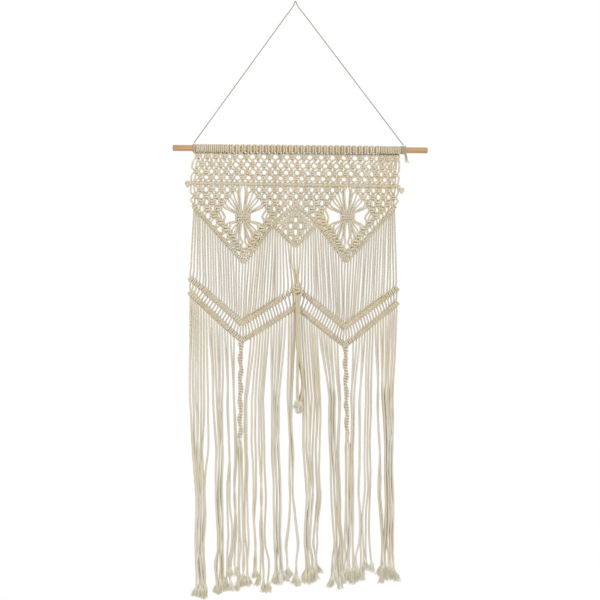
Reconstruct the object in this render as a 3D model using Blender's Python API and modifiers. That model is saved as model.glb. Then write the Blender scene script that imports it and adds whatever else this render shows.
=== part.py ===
"""A macrame wall hanging: cotton cord knotted onto a wooden rod, which a thinner cord carries.

The origin is where a hook holds the bend of the hanging cord. +X runs to the viewer's right
along the rod, the front faces -Y, and +Z is up. Every length is in metres.

The cotton strands are counted from the left, 0 to 79, two from each lark's head on the rod.
Above the slanted border they are modelled in pairs and the net at twice its pitch; below it
every strand stands by itself.
"""
import math

import bmesh
import bpy
from mathutils import Matrix, Vector

# The rod and the thin cord that carries it
ROD_LENGTH = 0.610
ROD_RADIUS = 0.007
ROD_LEFT_END = -0.289
ROD_AXIS_Z = -0.340
ROD_SIDES = 32
HANGING_CORD_DIAMETER = 0.003
HANGING_CORD_BEND = 0.008
CORD_TIES = (
    # name, first turn x, last turn x
    ("cord_tie_left", -0.2440, -0.2376),
    ("cord_tie_right", 0.2546, 0.2706),
)
HANGING_CORD_PEAK = 0.0035
TIE_GROOVE = 0.0009
# The free end under the right tie: how far left of the tie's end it leaves, how far it hangs,
# leans and comes forward, and how much it frays out
FREE_END_INSET = 0.003
FREE_END_LENGTH = 0.021
FREE_END_LEAN = 0.004
FREE_END_FORWARD = 0.001
FREE_END_FRAY = 1.15

# The clearance between neighbouring pieces, and how far one joined shape reaches into the next
GAP = 0.0003
INSET = 0.0011

# The cotton cord
STRANDS = 80
STRAND_WIDTH = 0.0042
PAIR_WIDTH = 0.0035
WRAP_THICKNESS = 0.0031

# The heading of lark's heads: heads counted from the left, x
HEADS = 40
HEADING = ((0, -0.237), (8, -0.160), (34, 0.205), (40, 0.254))
HEADING_SIDES = 8
HEADING_GROOVE = 0.0021

# The net of square knots under the heading
UPPER_ROW_Z = -0.3705
LOWER_ROW_Z = -0.3990
KNOT_LEAST_WIDTH = 0.0168
KNOT_SIDE = 0.0006
KNOT_HEIGHT = 0.0115
KNOT_DEPTH = 0.0104
KNOT_END = 0.75
INTO_KNOT = KNOT_HEIGHT / 2 - 0.003
NET_SHIFT = 0.3
ENTRY_PITCH = 0.0060

# The level bar of double half hitches, and the knots that end its carrier cord
BAR = ((-0.2500, -0.4195), (0.2520, -0.4250))
BAR_THICKNESS = 0.0090
BAR_DEPTH = 0.0110
END_KNOT_RADIUS = 0.0078
END_KNOTS = (
    # x, z
    (-0.2550, -0.4215),
    (0.2580, -0.4345),
)

# The carrier cord's short way from the bar down to its right end knot
CARRIER_NECK = ((0.247, 0.0003, -0.4252), (0.256, 0.0003, -0.4325))
CARRIER_NECK_WIDTH = 0.0044

# The slanted border, the small V inside its centre, and the two zigzag lines: x, z
BORDER = (
    (-0.243, -0.470),
    (-0.123, -0.603),
    (-0.054, -0.514),
    (0.000, -0.469),
    (0.054, -0.512),
    (0.123, -0.602),
    (0.243, -0.472),
)
SMALL_V = ((-0.054, -0.514), (0.000, -0.566), (0.054, -0.512))
DIAMOND_HALF_WIDTH = 0.039
SMALL_V_HALF_WIDTH = 0.052
SMALL_V_DEPTH = 0.0097
UPPER_ZIGZAG = ((-0.250, -0.638), (-0.128, -0.744), (0.003, -0.664), (0.120, -0.756), (0.246, -0.668))
LOWER_ZIGZAG = ((-0.250, -0.671), (-0.128, -0.784), (0.003, -0.706), (0.120, -0.799), (0.246, -0.702))
BORDER_THICKNESS = 0.0072
BORDER_DEPTH = 0.0100
ZIGZAG_THICKNESS = 0.0090
ZIGZAG_DEPTH = 0.0130
HITCH_PITCH = 0.0165
HITCH_GROOVE = 0.0010
CORNER_OVERLAP = 0.0040

# The gathers at the middle of the two medallions
GATHERS = ((-0.1260, -0.4985), (0.1250, -0.4975))
GATHER_WIDTH = 0.0330
GATHER_HEIGHT = 0.0105
GATHER_DEPTH = 0.0130
GATHER_PITCH = 0.0042
GATHER_END = 0.85
GATHERED = 0.8

# Square knots under the bar, for the left half; the right half mirrors them
SIDE_KNOTS = (
    # first pair, pairs, z, shift along x from the middle of its pairs
    (3, 4, -0.4560, 0.000),
    (13, 4, -0.4560, 0.000),
    (5, 3, -0.5280, 0.008),
    (8, 4, -0.5650, 0.000),
    (12, 3, -0.5280, -0.008),
)
CENTRE_KNOTS = (
    # first pair, pairs, z
    (18, 4, -0.4460),
    (18, 4, -0.5220),
)
# Where the pairs that fan into a gather turn inwards: pair, x, z
FAN_TURNS = ((7, -0.1510, -0.4520), (8, -0.1420, -0.4420), (11, -0.1100, -0.4420), (12, -0.1010, -0.4520))

# Where the single strands hang: strands counted from the left, x
HANGING = ((0, -0.250), (8, -0.212), (20, -0.128), (40, 0.003), (60, 0.120), (72, 0.205), (80, 0.247))

# The fringe gathers into locks on its way down
LOCK_LEVELS = (-0.900, -1.130, -1.290)
LOCKS = (
    # first, last, x at each of the three levels, lowest z, spread at the ends
    (0, 9, -0.2355, -0.2285, -0.2275, -1.380, 1.25),
    (10, 10, -0.2090, -0.2125, -0.2125, -1.366, 1.00),
    (11, 15, -0.1845, -0.1830, -0.1835, -1.366, 1.60),
    (16, 16, -0.1595, -0.1580, -0.1640, -1.367, 1.00),
    (17, 17, -0.1460, -0.1460, -0.1480, -1.350, 1.00),
    (22, 23, -0.1185, -0.1200, -0.1210, -1.358, 1.10),
    (24, 26, -0.1010, -0.0990, -0.0980, -1.354, 1.30),
    (27, 30, -0.0800, -0.0780, -0.0770, -1.368, 1.30),
    (31, 36, -0.0475, -0.0455, -0.0430, -1.360, 1.20),
    (37, 37, -0.0170, -0.0165, -0.0235, -1.357, 1.00),
    (38, 38, -0.0115, -0.0095, 0.0050, -1.361, 1.00),
    (41, 42, 0.0265, 0.0285, 0.0300, -1.350, 1.00),
    (43, 47, 0.0490, 0.0455, 0.0420, -1.356, 1.30),
    (48, 54, 0.0855, 0.0955, 0.0990, -1.366, 1.10),
    (55, 57, 0.1045, 0.1130, 0.1150, -1.363, 1.00),
    (62, 64, 0.1410, 0.1400, 0.1385, -1.360, 1.10),
    (65, 66, 0.1585, 0.1515, 0.1600, -1.338, 1.10),
    (67, 69, 0.1790, 0.1780, 0.1765, -1.344, 1.20),
    (70, 72, 0.2020, 0.2055, 0.2080, -1.346, 1.20),
    (73, 79, 0.2280, 0.2265, 0.2290, -1.362, 1.30),
)
LOCK_PITCH = 0.0048
FRONT_LAYER_Y = -0.0026
BACK_LAYER_Y = 0.0016
LINK_GAP = 0.0023
# The cut ends of a lock are uneven: they rise above its lowest end by shuffled steps
END_STEP = 0.006
END_STEPS = 4
END_SHUFFLE = 7

# The two twisted cords of half knots under the low points of the zigzag
SINNETS = (
    # x at the top, x at the foot, foot z, x of the loose ends at the two lower levels, lowest z
    (-0.1310, -0.1340, -1.014, -0.1335, -0.1345, -1.366),
    (0.1195, 0.1245, -1.006, 0.1290, 0.1280, -1.360),
)
SINNET_RADIUS = 0.0060
SINNET_HALF_TURNS = 7
SINNET_STEPS = 21
SINNET_STRANDS = 4
SINNET_SPREAD = 1.4

# The tassel that hangs in front of the middle of the zigzag
TASSEL_TOP_STRANDS = (38, 39, 40, 41)
TASSEL_STRANDS = (39, 40)
TASSEL_HEAD = (0.004, -0.0121, -0.667)
TASSEL_TOP_Z = -0.5742
TASSEL_TOP_SLOPE = 0.97
TASSEL_TOP_Y = -0.0012
TASSEL_HEAD_WIDTH = 0.0210
TASSEL_HEAD_HEIGHT = 0.0130
TASSEL_HEAD_END = 0.8
TASSEL_PITCH = 0.0047
TASSEL_STRAND_WIDTH = 0.0040
TASSEL_COLUMNS = 4
TASSEL_END_Z = (-0.936, -0.944, -0.951, -0.946)
TASSEL_FLARE = 1.35


# ---------------------------------------------------------------- the scene

for leftover in list(bpy.data.objects):
    bpy.data.objects.remove(leftover, do_unlink=True)


def new_collection(name, shown):
    collection = bpy.data.collections.new(name)
    bpy.context.scene.collection.children.link(collection)
    collection.hide_render = not shown
    return collection


HANGING_PARTS = new_collection("macrame_wall_hanging", True)
JOINED_SHAPES = new_collection("joined_shapes", False)


def new_material(name, colour, roughness):
    material = bpy.data.materials.new(name)
    material.use_nodes = True
    shader = material.node_tree.nodes["Principled BSDF"]
    shader.inputs["Base Color"].default_value = (*colour, 1.0)
    shader.inputs["Roughness"].default_value = roughness
    shader.inputs["Metallic"].default_value = 0.0
    return material


WOOD = new_material("pale_wood", (0.62, 0.40, 0.22), 0.55)
COTTON = new_material("ecru_cotton", (0.78, 0.71, 0.57), 0.95)
THIN_CORD = new_material("thin_cord", (0.72, 0.69, 0.62), 0.90)


def as_mesh_object(obj, name, collection):
    """Replaces an object by a welded mesh of its evaluated shape, with flat faces merged."""
    bpy.context.view_layer.update()
    graph = bpy.context.evaluated_depsgraph_get()
    mesh = bpy.data.meshes.new_from_object(obj.evaluated_get(graph))
    mesh.transform(obj.matrix_world)
    bpy.data.objects.remove(obj, do_unlink=True)
    shape = bmesh.new()
    shape.from_mesh(mesh)
    bmesh.ops.remove_doubles(shape, verts=shape.verts, dist=1e-6)
    bmesh.ops.dissolve_limit(shape, angle_limit=math.radians(0.2), verts=shape.verts, edges=shape.edges)
    bmesh.ops.recalc_face_normals(shape, faces=shape.faces)
    shape.to_mesh(mesh)
    shape.free()
    result = bpy.data.objects.new(name, mesh)
    collection.objects.link(result)
    return result


def join_into(base, name, material, pieces):
    """Makes the base one body with all the pieces, which stay as hidden shapes."""
    group = bpy.data.collections.new(name + "_pieces")
    JOINED_SHAPES.children.link(group)
    for piece in pieces:
        for owner in list(piece.users_collection):
            owner.objects.unlink(piece)
        group.objects.link(piece)
        piece.hide_render = True
        piece.display_type = "WIRE"
    union = base.modifiers.new("one_body", "BOOLEAN")
    union.operation = "UNION"
    union.solver = "EXACT"
    union.operand_type = "COLLECTION"
    union.collection = group
    base.name = name
    base.data.materials.clear()
    base.data.materials.append(material)
    return base


def read(table, at):
    """The value of a two-column table at a place between its rows."""
    for (left, low), (right, high) in zip(table, table[1:]):
        if at <= right or (right, high) == table[-1]:
            return low + (high - low) * (at - left) / (right - left)


# ---------------------------------------------------------------- shapes

def new_curve(name, dimensions):
    curve = bpy.data.curves.new(name, "CURVE")
    curve.dimensions = dimensions
    obj = bpy.data.objects.new(name, curve)
    JOINED_SHAPES.objects.link(obj)
    return obj


def add_spline(curve, points, radii=None, tilts=None, closed=False):
    spline = curve.splines.new("POLY")
    spline.points.add(len(points) - 1)
    for index, point in enumerate(points):
        spline.points[index].co = (*point, 1.0) if len(point) == 3 else (*point, 0.0, 1.0)
        spline.points[index].radius = radii[index] if radii else 1.0
        spline.points[index].tilt = tilts[index] if tilts else 0.0
    spline.use_cyclic_u = closed


def cross_section(name, outline):
    """A closed outline that other curves carry along: first value to the front, second up."""
    obj = new_curve(name, "2D")
    add_spline(obj.data, outline, closed=True)
    obj.hide_render = True
    obj.display_type = "WIRE"
    return obj


def regular(radius, sides, turn=0.0):
    steps = [turn + 2.0 * math.pi * k / sides for k in range(sides)]
    return [(radius * math.cos(a), radius * math.sin(a)) for a in steps]


def knot_outline(height, depth):
    """The side view of a square knot: two wraps in front, one swelling behind."""
    h = height / 2
    d = depth / 2
    return [(0.8 * d, h), (-0.8 * d, h), (-d, 0), (-0.8 * d, -h), (0.8 * d, -h), (d, -h / 2), (0.8 * d, 0), (d, h / 2)]


def carried_along(name, section, routes, collection=None):
    """Solid strips with one cross-section along each route of (points, radii, tilts)."""
    obj = new_curve(name, "3D")
    obj.data.twist_mode = "MINIMUM"
    obj.data.bevel_mode = "OBJECT"
    obj.data.bevel_object = section
    obj.data.use_fill_caps = True
    for points, radii, tilts in routes:
        add_spline(obj.data, points, radii, tilts)
    return as_mesh_object(obj, name, collection or JOINED_SHAPES)


def strand(points, radii=None):
    """A strand's route with one edge of its three-sided section turned to the front."""
    lean = points[1][0] - points[0][0]
    start = Vector(points[0])
    if abs(lean) < 1e-5:
        start.x -= 2e-5
        lean = 1.0
    turn = 0.0 if lean > 0 else math.pi
    return [tuple(start), *points[1:]], radii, [turn] * len(points)


def ridged_bar(name, start, end, thickness, depth, overlaps=(0.0, 0.0)):
    """A run of hitches: a ridged outline with depth, pulled up to the bar's thickness."""
    start = Vector((start[0], 0.0, start[1]))
    end = Vector((end[0], 0.0, end[1]))
    along = (end - start).normalized()
    start -= along * overlaps[0]
    length = (end - start).length + overlaps[1]
    front_ridges = max(2, round(length / HITCH_PITCH))
    back_ridges = max(1, front_ridges // 2)
    outline = [(0.0, -depth / 2 + HITCH_GROOVE)]
    for k in range(front_ridges):
        outline.append(((k + 0.5) * length / front_ridges, -depth / 2))
        outline.append(((k + 1) * length / front_ridges, -depth / 2 + HITCH_GROOVE))
    outline.append((length, depth / 2 - HITCH_GROOVE))
    for k in reversed(range(back_ridges)):
        outline.append(((k + 0.5) * length / back_ridges, depth / 2))
        outline.append((k * length / back_ridges, depth / 2 - HITCH_GROOVE))
    obj = new_curve(name, "2D")
    obj.data.fill_mode = "BOTH"
    obj.data.extrude = thickness / 2
    add_spline(obj.data, outline, closed=True)
    slope = math.atan2(along.z, along.x)
    obj.matrix_world = Matrix.Translation(start) @ Matrix.Rotation(-slope, 4, "Y")
    return as_mesh_object(obj, name, JOINED_SHAPES)


def ridged_line(name, line, thickness, depth):
    """A bar for each leg of a bent line; legs differ by a hair in depth where they cross."""
    bars = []
    last = len(line) - 2
    for k, (start, end) in enumerate(zip(line, line[1:])):
        overlaps = (CORNER_OVERLAP if k else 0.0, CORNER_OVERLAP if k < last else 0.0)
        leg_depth = depth * (1.0 + 0.01 * (k % 2))
        bars.append(ridged_bar(f"{name}_{k}", start, end, thickness, leg_depth, overlaps))
    return bars


def turned_about_rod(name, profile, sides, collection):
    """A body turned about the rod's axis from rows of (x, radius) down its outer side and back."""
    mesh = bpy.data.meshes.new(name)
    shape = bmesh.new()
    verts = [shape.verts.new((radius, 0.0, -x)) for x, radius in profile]
    for a, b in zip(verts, verts[1:] + verts[:1]):
        shape.edges.new((a, b))
    shape.to_mesh(mesh)
    shape.free()
    obj = bpy.data.objects.new(name, mesh)
    JOINED_SHAPES.objects.link(obj)
    turning = obj.modifiers.new("turning", "SCREW")
    turning.axis = "Z"
    turning.angle = 2.0 * math.pi
    turning.steps = sides
    turning.render_steps = sides
    turning.use_merge_vertices = True
    turning.merge_threshold = 1e-5
    along_rod = Matrix.Rotation(-math.pi / 2, 4, "Y")
    half_side = Matrix.Rotation(math.pi / sides, 4, "X")
    obj.matrix_world = Matrix.Translation((0.0, 0.0, ROD_AXIS_Z)) @ half_side @ along_rod
    return as_mesh_object(obj, name, collection)


def flat_radius(radius, sides):
    """The corner radius of a polygon whose flats lie at the given radius."""
    return radius / math.cos(math.pi / sides)


# ---------------------------------------------------------------- places of the pairs and strands

PAIRS = STRANDS // 2
MEDALLION_PAIRS = range(6, 14)


def half_depth(line, thickness, x):
    """Half of a bent line's thickness, measured straight up and down at x."""
    dx = 1e-4
    slope = (read(line, x + dx) - read(line, x - dx)) / (2 * dx)
    return thickness / 2 * math.sqrt(1.0 + slope * slope)


def pair_at_heading(pair):
    return read(HEADING, pair + 0.5)


def pair_at_bar(pair):
    return BAR[0][0] + (pair + 0.5) / PAIRS * (BAR[1][0] - BAR[0][0])


def pair_in_net(pair, share):
    """x a share of the way from the heading to the bar."""
    return (1.0 - share) * pair_at_heading(pair) + share * pair_at_bar(pair)


def at_border(count, of):
    """x on the slanted border, where each leg takes a quarter of the strands."""
    corners = (BORDER[0], BORDER[1], BORDER[3], BORDER[5], BORDER[6])
    table = [(k * of / 4, corner[0]) for k, corner in enumerate(corners)]
    return read(table, count + 0.5)


def pair_at_border(pair):
    return at_border(pair, PAIRS)


def strand_at_border(index):
    return at_border(index, STRANDS)


def strand_hanging(index):
    return read(HANGING, index + 0.5)


def pair_y(pair):
    """Neighbouring pairs lie a hair in front of and behind each other."""
    return -0.0005 if pair % 2 else 0.0005


# ---------------------------------------------------------------- rod, ties and hanging cord

def make_rod():
    bpy.ops.mesh.primitive_cylinder_add(
        vertices=ROD_SIDES,
        radius=ROD_RADIUS,
        depth=ROD_LENGTH,
        location=(ROD_LEFT_END + ROD_LENGTH / 2, 0.0, ROD_AXIS_Z),
        rotation=(0.0, math.pi / 2, 0.0),
    )
    rod = bpy.context.object
    rod.name = "rod"
    rod.data.shade_smooth()
    rod.data.set_sharp_from_angle(angle=math.radians(30))
    rod.data.materials.append(WOOD)
    for owner in list(rod.users_collection):
        owner.objects.unlink(rod)
    HANGING_PARTS.objects.link(rod)


TIE_SIDES = 12
TIE_BORE = flat_radius(ROD_RADIUS + GAP, TIE_SIDES)
TIE_RADIUS = ROD_RADIUS + GAP + HANGING_CORD_DIAMETER


def make_tie(name, left, right):
    """The turns of the hanging cord round the rod, one ridge for each."""
    turns = round((right - left) / HANGING_CORD_DIAMETER)
    pitch = (right - left) / turns
    crest = flat_radius(TIE_RADIUS, TIE_SIDES)
    groove = crest - TIE_GROOVE
    profile = [(left, groove)]
    for k in range(turns):
        profile.append((left + (k + 0.5) * pitch, crest))
        profile.append((left + (k + 1) * pitch, groove))
    profile += [(right, TIE_BORE), (left, TIE_BORE)]
    return turned_about_rod(name, profile, TIE_SIDES, HANGING_PARTS)


def make_ties():
    for name, left, right in CORD_TIES:
        tie = make_tie(name, left, right)
        tie.data.materials.append(THIN_CORD)
    section = cross_section("free_end_section", regular(HANGING_CORD_DIAMETER / 2, 6))
    top = Vector((right - FREE_END_INSET, 0.0, ROD_AXIS_Z - TIE_RADIUS + INSET))
    foot = top + Vector((FREE_END_LEAN, -FREE_END_FORWARD, -FREE_END_LENGTH))
    route = ([tuple(top), tuple(foot)], [1.0, FREE_END_FRAY], None)
    join_into(tie, name, THIN_CORD, [carried_along("free_end", section, [route])])


def hanging_cord_route():
    """From the left tie up to the bend over the hook and down to the right tie."""
    apex_z = HANGING_CORD_DIAMETER / 2
    ends = []
    for name, left, right in CORD_TIES:
        middle = (left + right) / 2
        reach = Vector((-middle, 0.0, apex_z - ROD_AXIS_Z - TIE_RADIUS)).normalized()
        clear = GAP + HANGING_CORD_DIAMETER / 2 * abs(reach.x)
        ends.append(Vector((middle, 0.0, ROD_AXIS_Z + TIE_RADIUS + clear)))
    legs = []
    for end in ends:
        run = Vector((0.0, 0.0, apex_z - HANGING_CORD_PEAK)) - end
        shoulder = end + run * (1.0 - HANGING_CORD_BEND / run.length)
        legs.append([end + (shoulder - end) * s for s in (0.0, 0.1, 0.25, 0.5, 0.75, 0.9, 1.0)])
    return legs[0] + [Vector((0.0, 0.0, apex_z))] + legs[1][::-1]


def smooth_through(route, steps):
    """Points on a smooth curve through the route's own points."""
    points = []
    padded = [route[0] * 2 - route[1], *route, route[-1] * 2 - route[-2]]
    for k in range(1, len(padded) - 2):
        p0, p1, p2, p3 = padded[k - 1:k + 3]
        for s in range(steps):
            t = s / steps
            a = 2 * p1
            b = (p2 - p0) * t
            c = (2 * p0 - 5 * p1 + 4 * p2 - p3) * t * t
            d = (3 * p1 - p0 - 3 * p2 + p3) * t ** 3
            points.append((a + b + c + d) / 2)
    return points + [route[-1]]


def make_hanging_cord():
    obj = new_curve("hanging_cord", "3D")
    obj.data.bevel_depth = HANGING_CORD_DIAMETER / 2
    obj.data.bevel_resolution = 2
    obj.data.use_fill_caps = True
    add_spline(obj.data, [tuple(p) for p in smooth_through(hanging_cord_route(), 3)])
    cord = as_mesh_object(obj, "hanging_cord", HANGING_PARTS)
    cord.data.materials.append(THIN_CORD)


# ---------------------------------------------------------------- knotted panel

def make_heading():
    """Lark's heads side by side round the rod, one ridge for each."""
    outer = flat_radius(ROD_RADIUS + GAP + WRAP_THICKNESS, HEADING_SIDES)
    groove = outer - HEADING_GROOVE
    bore = flat_radius(ROD_RADIUS + GAP, HEADING_SIDES)
    profile = [(read(HEADING, 0), groove)]
    for head in range(HEADS):
        profile.append((read(HEADING, head + 0.5), outer))
        profile.append((read(HEADING, head + 1), groove))
    profile += [(profile[-1][0], bore), (profile[0][0], bore)]
    return turned_about_rod("heading", profile, HEADING_SIDES, HANGING_PARTS)


class Knots:
    """Square knots of a few pairs each, with the strands that enter and leave them."""

    def __init__(self):
        self.routes = []
        self.ends = {}

    def tie(self, pairs, x, z):
        width = max(len(pairs) * ENTRY_PITCH + 2 * KNOT_SIDE, KNOT_LEAST_WIDTH)
        self.routes.append(([(x - width / 2, 0.0, z), (x, 0.0, z), (x + width / 2, 0.0, z)],
                            [KNOT_END, 1.0, KNOT_END], None))
        entries = {}
        for k, pair in enumerate(pairs):
            entries[pair] = x + (k - (len(pairs) - 1) / 2) * ENTRY_PITCH
        return entries

    def solid(self, name):
        section = cross_section(name + "_section", knot_outline(KNOT_HEIGHT, KNOT_DEPTH))
        return [carried_along(f"{name}_{k}", section, [route]) for k, route in enumerate(self.routes)]


class Strands:
    """Straight strand pieces, kept in two sets so that no two in one set cross."""

    def __init__(self):
        self.sets = ([], [])

    def add(self, index, *points, radii=None):
        y = pair_y(index)
        route = [(x, y, z) for x, z in points]
        self.sets[index % 2].append(strand(route, radii))

    def solids(self, name, section):
        return [carried_along(f"{name}_{k}", section, routes) for k, routes in enumerate(self.sets) if routes]


def make_panel():
    knots = Knots()
    pairs = Strands()
    place = {}

    # From the lark's heads to the first row of the net
    first_row = {}
    for first in range(0, PAIRS, 4):
        group = range(first, first + 4)
        x = sum(pair_in_net(p, NET_SHIFT) for p in group) / 4
        entries = knots.tie(group, x, UPPER_ROW_Z)
        first_row.update(entries)
        for p in group:
            top = ROD_AXIS_Z - ROD_RADIUS - GAP - INSET
            pairs.add(p, (pair_at_heading(p), top), (entries[p], UPPER_ROW_Z + INTO_KNOT))

    # The second row joins neighbours of the first, and both edges run on
    bar_top = {p: read(BAR, pair_at_bar(p)) + INSET for p in range(PAIRS)}
    for first in range(2, PAIRS - 2, 4):
        group = range(first, first + 4)
        x = sum(pair_in_net(p, 1.0 - NET_SHIFT) for p in group) / 4
        entries = knots.tie(group, x, LOWER_ROW_Z)
        for p in group:
            pairs.add(p, (first_row[p], UPPER_ROW_Z - INTO_KNOT), (entries[p], LOWER_ROW_Z + INTO_KNOT))
            pairs.add(p, (entries[p], LOWER_ROW_Z - INTO_KNOT), (pair_at_bar(p), bar_top[p]))
    for p in (0, 1, PAIRS - 2, PAIRS - 1):
        pairs.add(p, (first_row[p], UPPER_ROW_Z - INTO_KNOT), (pair_at_bar(p), bar_top[p]))

    # Under the bar: where each pair last was
    for p in range(PAIRS):
        place[p] = (pair_at_bar(p), read(BAR, pair_at_bar(p)) - INSET)

    def tie_group(group, x, z, into):
        entries = knots.tie(group, x, z)
        for p in group:
            if into.get(p):
                pairs.add(p, into[p], (entries[p], z + INTO_KNOT))
            place[p] = (entries[p], z - INTO_KNOT)

    def mirrored(p):
        return PAIRS - 1 - p

    for side in (0, 1):
        gather_x, gather_z = GATHERS[side]
        turns = {p: (x, z) for p, x, z in FAN_TURNS}

        def here(p):
            return mirrored(p) if side else p

        def group_of(first, count):
            group = [here(p) for p in range(first, first + count)]
            return sorted(group)

        for first, count, z, _shift in SIDE_KNOTS[:2]:
            group = group_of(first, count)
            tie_group(group, sum(pair_at_bar(p) for p in group) / count, z, dict(place))

        # The fan above the gather, the fan below it
        below = {}
        for p in MEDALLION_PAIRS:
            q = here(p)
            offset = (p - 9.5) * GATHER_PITCH * (-1 if side else 1)
            stops = [place[q]]
            if p in turns:
                x, z = turns[p]
                stops.append((-x if side else x, z))
            stops.append((gather_x + offset, gather_z + GATHER_HEIGHT / 2 - 2 * INSET))
            radii = [1.0] * (len(stops) - 1) + [GATHERED]
            pairs.add(q, *stops, radii=radii)
            below[q] = (gather_x + offset, gather_z - GATHER_HEIGHT / 2 + 2 * INSET)
        for q, stop in below.items():
            place[q] = stop
        for first, count, z, shift in SIDE_KNOTS[2:]:
            group = group_of(first, count)
            x = sum(pair_at_border(p) for p in group) / count
            tie_group(group, x - shift if side else x + shift, z, dict(place))

    first, count, z = CENTRE_KNOTS[0]
    tie_group(range(first, first + count), 0.0, z, dict(place))

    # Down to the slanted border
    for p in range(PAIRS):
        x = pair_at_border(p)
        pairs.add(p, place[p], (x, read(BORDER, x) + INSET))

    # Inside the small V
    inside = [p for p in range(PAIRS) if abs(pair_at_border(p)) < DIAMOND_HALF_WIDTH]
    first, count, z = CENTRE_KNOTS[1]
    centre_group = range(first, first + count)
    for p in inside:
        x = pair_at_border(p)
        place[p] = (x, read(BORDER, x) - INSET)
    tie_group(centre_group, 0.0, z, dict(place))
    for p in inside:
        x = pair_at_border(p)
        pairs.add(p, place[p], (x, read(SMALL_V, x) + INSET))

    # Single strands from the border to the zigzag
    singles = Strands()
    for index in range(STRANDS):
        if index in TASSEL_TOP_STRANDS:
            continue
        x = strand_at_border(index)
        line = SMALL_V if abs(x) < SMALL_V_HALF_WIDTH else BORDER
        foot = strand_hanging(index)
        singles.add(index, (x, read(line, x) - INSET), (foot, read(UPPER_ZIGZAG, foot) + INSET))

    gather_section = cross_section("gather_section", knot_outline(GATHER_HEIGHT, GATHER_DEPTH))
    gathers = []
    for k, (x, z) in enumerate(GATHERS):
        points = [(x - GATHER_WIDTH / 2, 0.0, z), (x, 0.0, z), (x + GATHER_WIDTH / 2, 0.0, z)]
        route = (points, [GATHER_END, 1.0, GATHER_END], None)
        gathers.append(carried_along(f"gather_{k}", gather_section, [route]))
    end_knots = []
    for k, (x, z) in enumerate(END_KNOTS):
        bpy.ops.mesh.primitive_uv_sphere_add(
            segments=8, ring_count=5, radius=END_KNOT_RADIUS, location=(x, 0.0, z)
        )
        ball = bpy.context.object
        ball.name = f"carrier_knot_{k}"
        end_knots.append(ball)
    neck_section = cross_section("neck_section", regular(CARRIER_NECK_WIDTH / 2, 4))
    neck = carried_along("carrier_neck", neck_section, [(CARRIER_NECK, None, None)])

    pair_section = cross_section("pair_section", regular(PAIR_WIDTH / math.sqrt(3), 3))
    single_section = cross_section("single_section", regular(STRAND_WIDTH / math.sqrt(3), 3))
    pieces = [ridged_bar("level_bar", *BAR, BAR_THICKNESS, BAR_DEPTH)]
    pieces += ridged_line("border", BORDER, BORDER_THICKNESS, BORDER_DEPTH)
    pieces += ridged_line("small_v", SMALL_V, BORDER_THICKNESS, SMALL_V_DEPTH)
    pieces += ridged_line("upper_zigzag", UPPER_ZIGZAG, ZIGZAG_THICKNESS, ZIGZAG_DEPTH)
    pieces += knots.solid("square_knot") + gathers + end_knots + [neck]
    pieces += pairs.solids("pair", pair_section) + singles.solids("single", single_section)
    join_into(make_heading(), "macrame_panel", COTTON, pieces)


# ---------------------------------------------------------------- fringe

def layer_y(k):
    return FRONT_LAYER_Y if k % 2 == 0 else BACK_LAYER_Y


def make_fringe():
    strands = Strands()
    for index in range(STRANDS):
        if index in TASSEL_STRANDS:
            continue
        # A short link up to the zigzag above
        x = strand_hanging(index)
        top = read(UPPER_ZIGZAG, x) - half_depth(UPPER_ZIGZAG, ZIGZAG_THICKNESS, x) - LINK_GAP
        strands.add(index, (x, read(LOWER_ZIGZAG, x) + INSET), (x, top))
    hanging = []
    for first, last, *levels, lowest, spread in LOCKS:
        count = last - first + 1
        for k in range(count):
            index = first + k
            x = strand_hanging(index)
            y = layer_y(k)
            column = k // 2 - (count - 1) // 2 / 2
            points = [(x, y, read(LOWER_ZIGZAG, x) - INSET)]
            for level_x, level_z in zip(levels, LOCK_LEVELS):
                points.append((level_x + column * LOCK_PITCH, y, level_z))
            end_x = levels[-1] + column * LOCK_PITCH * spread
            end_z = lowest + END_STEP * (index * END_SHUFFLE % END_STEPS)
            points.append((end_x, y, end_z))
            hanging.append(strand(points))

    twist_section = cross_section("sinnet_section", regular(SINNET_RADIUS, 4, math.pi / 4))
    sinnets = []
    for number, (top_x, foot_x, foot_z, middle_x, end_x, lowest) in enumerate(SINNETS):
        top_z = read(LOWER_ZIGZAG, top_x) + INSET
        points = []
        tilts = []
        for k in range(SINNET_STEPS + 1):
            s = k / SINNET_STEPS
            points.append((top_x + (foot_x - top_x) * s, 0.0, top_z + (foot_z - top_z) * s))
            tilts.append(s * SINNET_HALF_TURNS * math.pi)
        sinnets.append(carried_along(f"sinnet_{number}", twist_section, [(points, None, tilts)]))
        for k in range(SINNET_STRANDS):
            y = layer_y(k)
            offset = (k // 2 - 0.5) * LOCK_PITCH
            points = [
                (foot_x + offset, y, foot_z + SINNET_RADIUS),
                (middle_x + offset, y, LOCK_LEVELS[1]),
                (end_x + offset, y, LOCK_LEVELS[2]),
                (end_x + offset * SINNET_SPREAD, y, lowest + END_STEP * k),
            ]
            hanging.append(strand(points))

    section = cross_section("fringe_section", regular(STRAND_WIDTH / math.sqrt(3), 3))
    legs = ridged_line("lower_zigzag", LOWER_ZIGZAG, ZIGZAG_THICKNESS, ZIGZAG_DEPTH)
    pieces = legs[1:] + sinnets + strands.solids("link", section)
    pieces.append(carried_along("fringe_strands", section, hanging))
    HANGING_PARTS.objects.link(legs[0])
    JOINED_SHAPES.objects.unlink(legs[0])
    join_into(legs[0], "fringe", COTTON, pieces)


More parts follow.
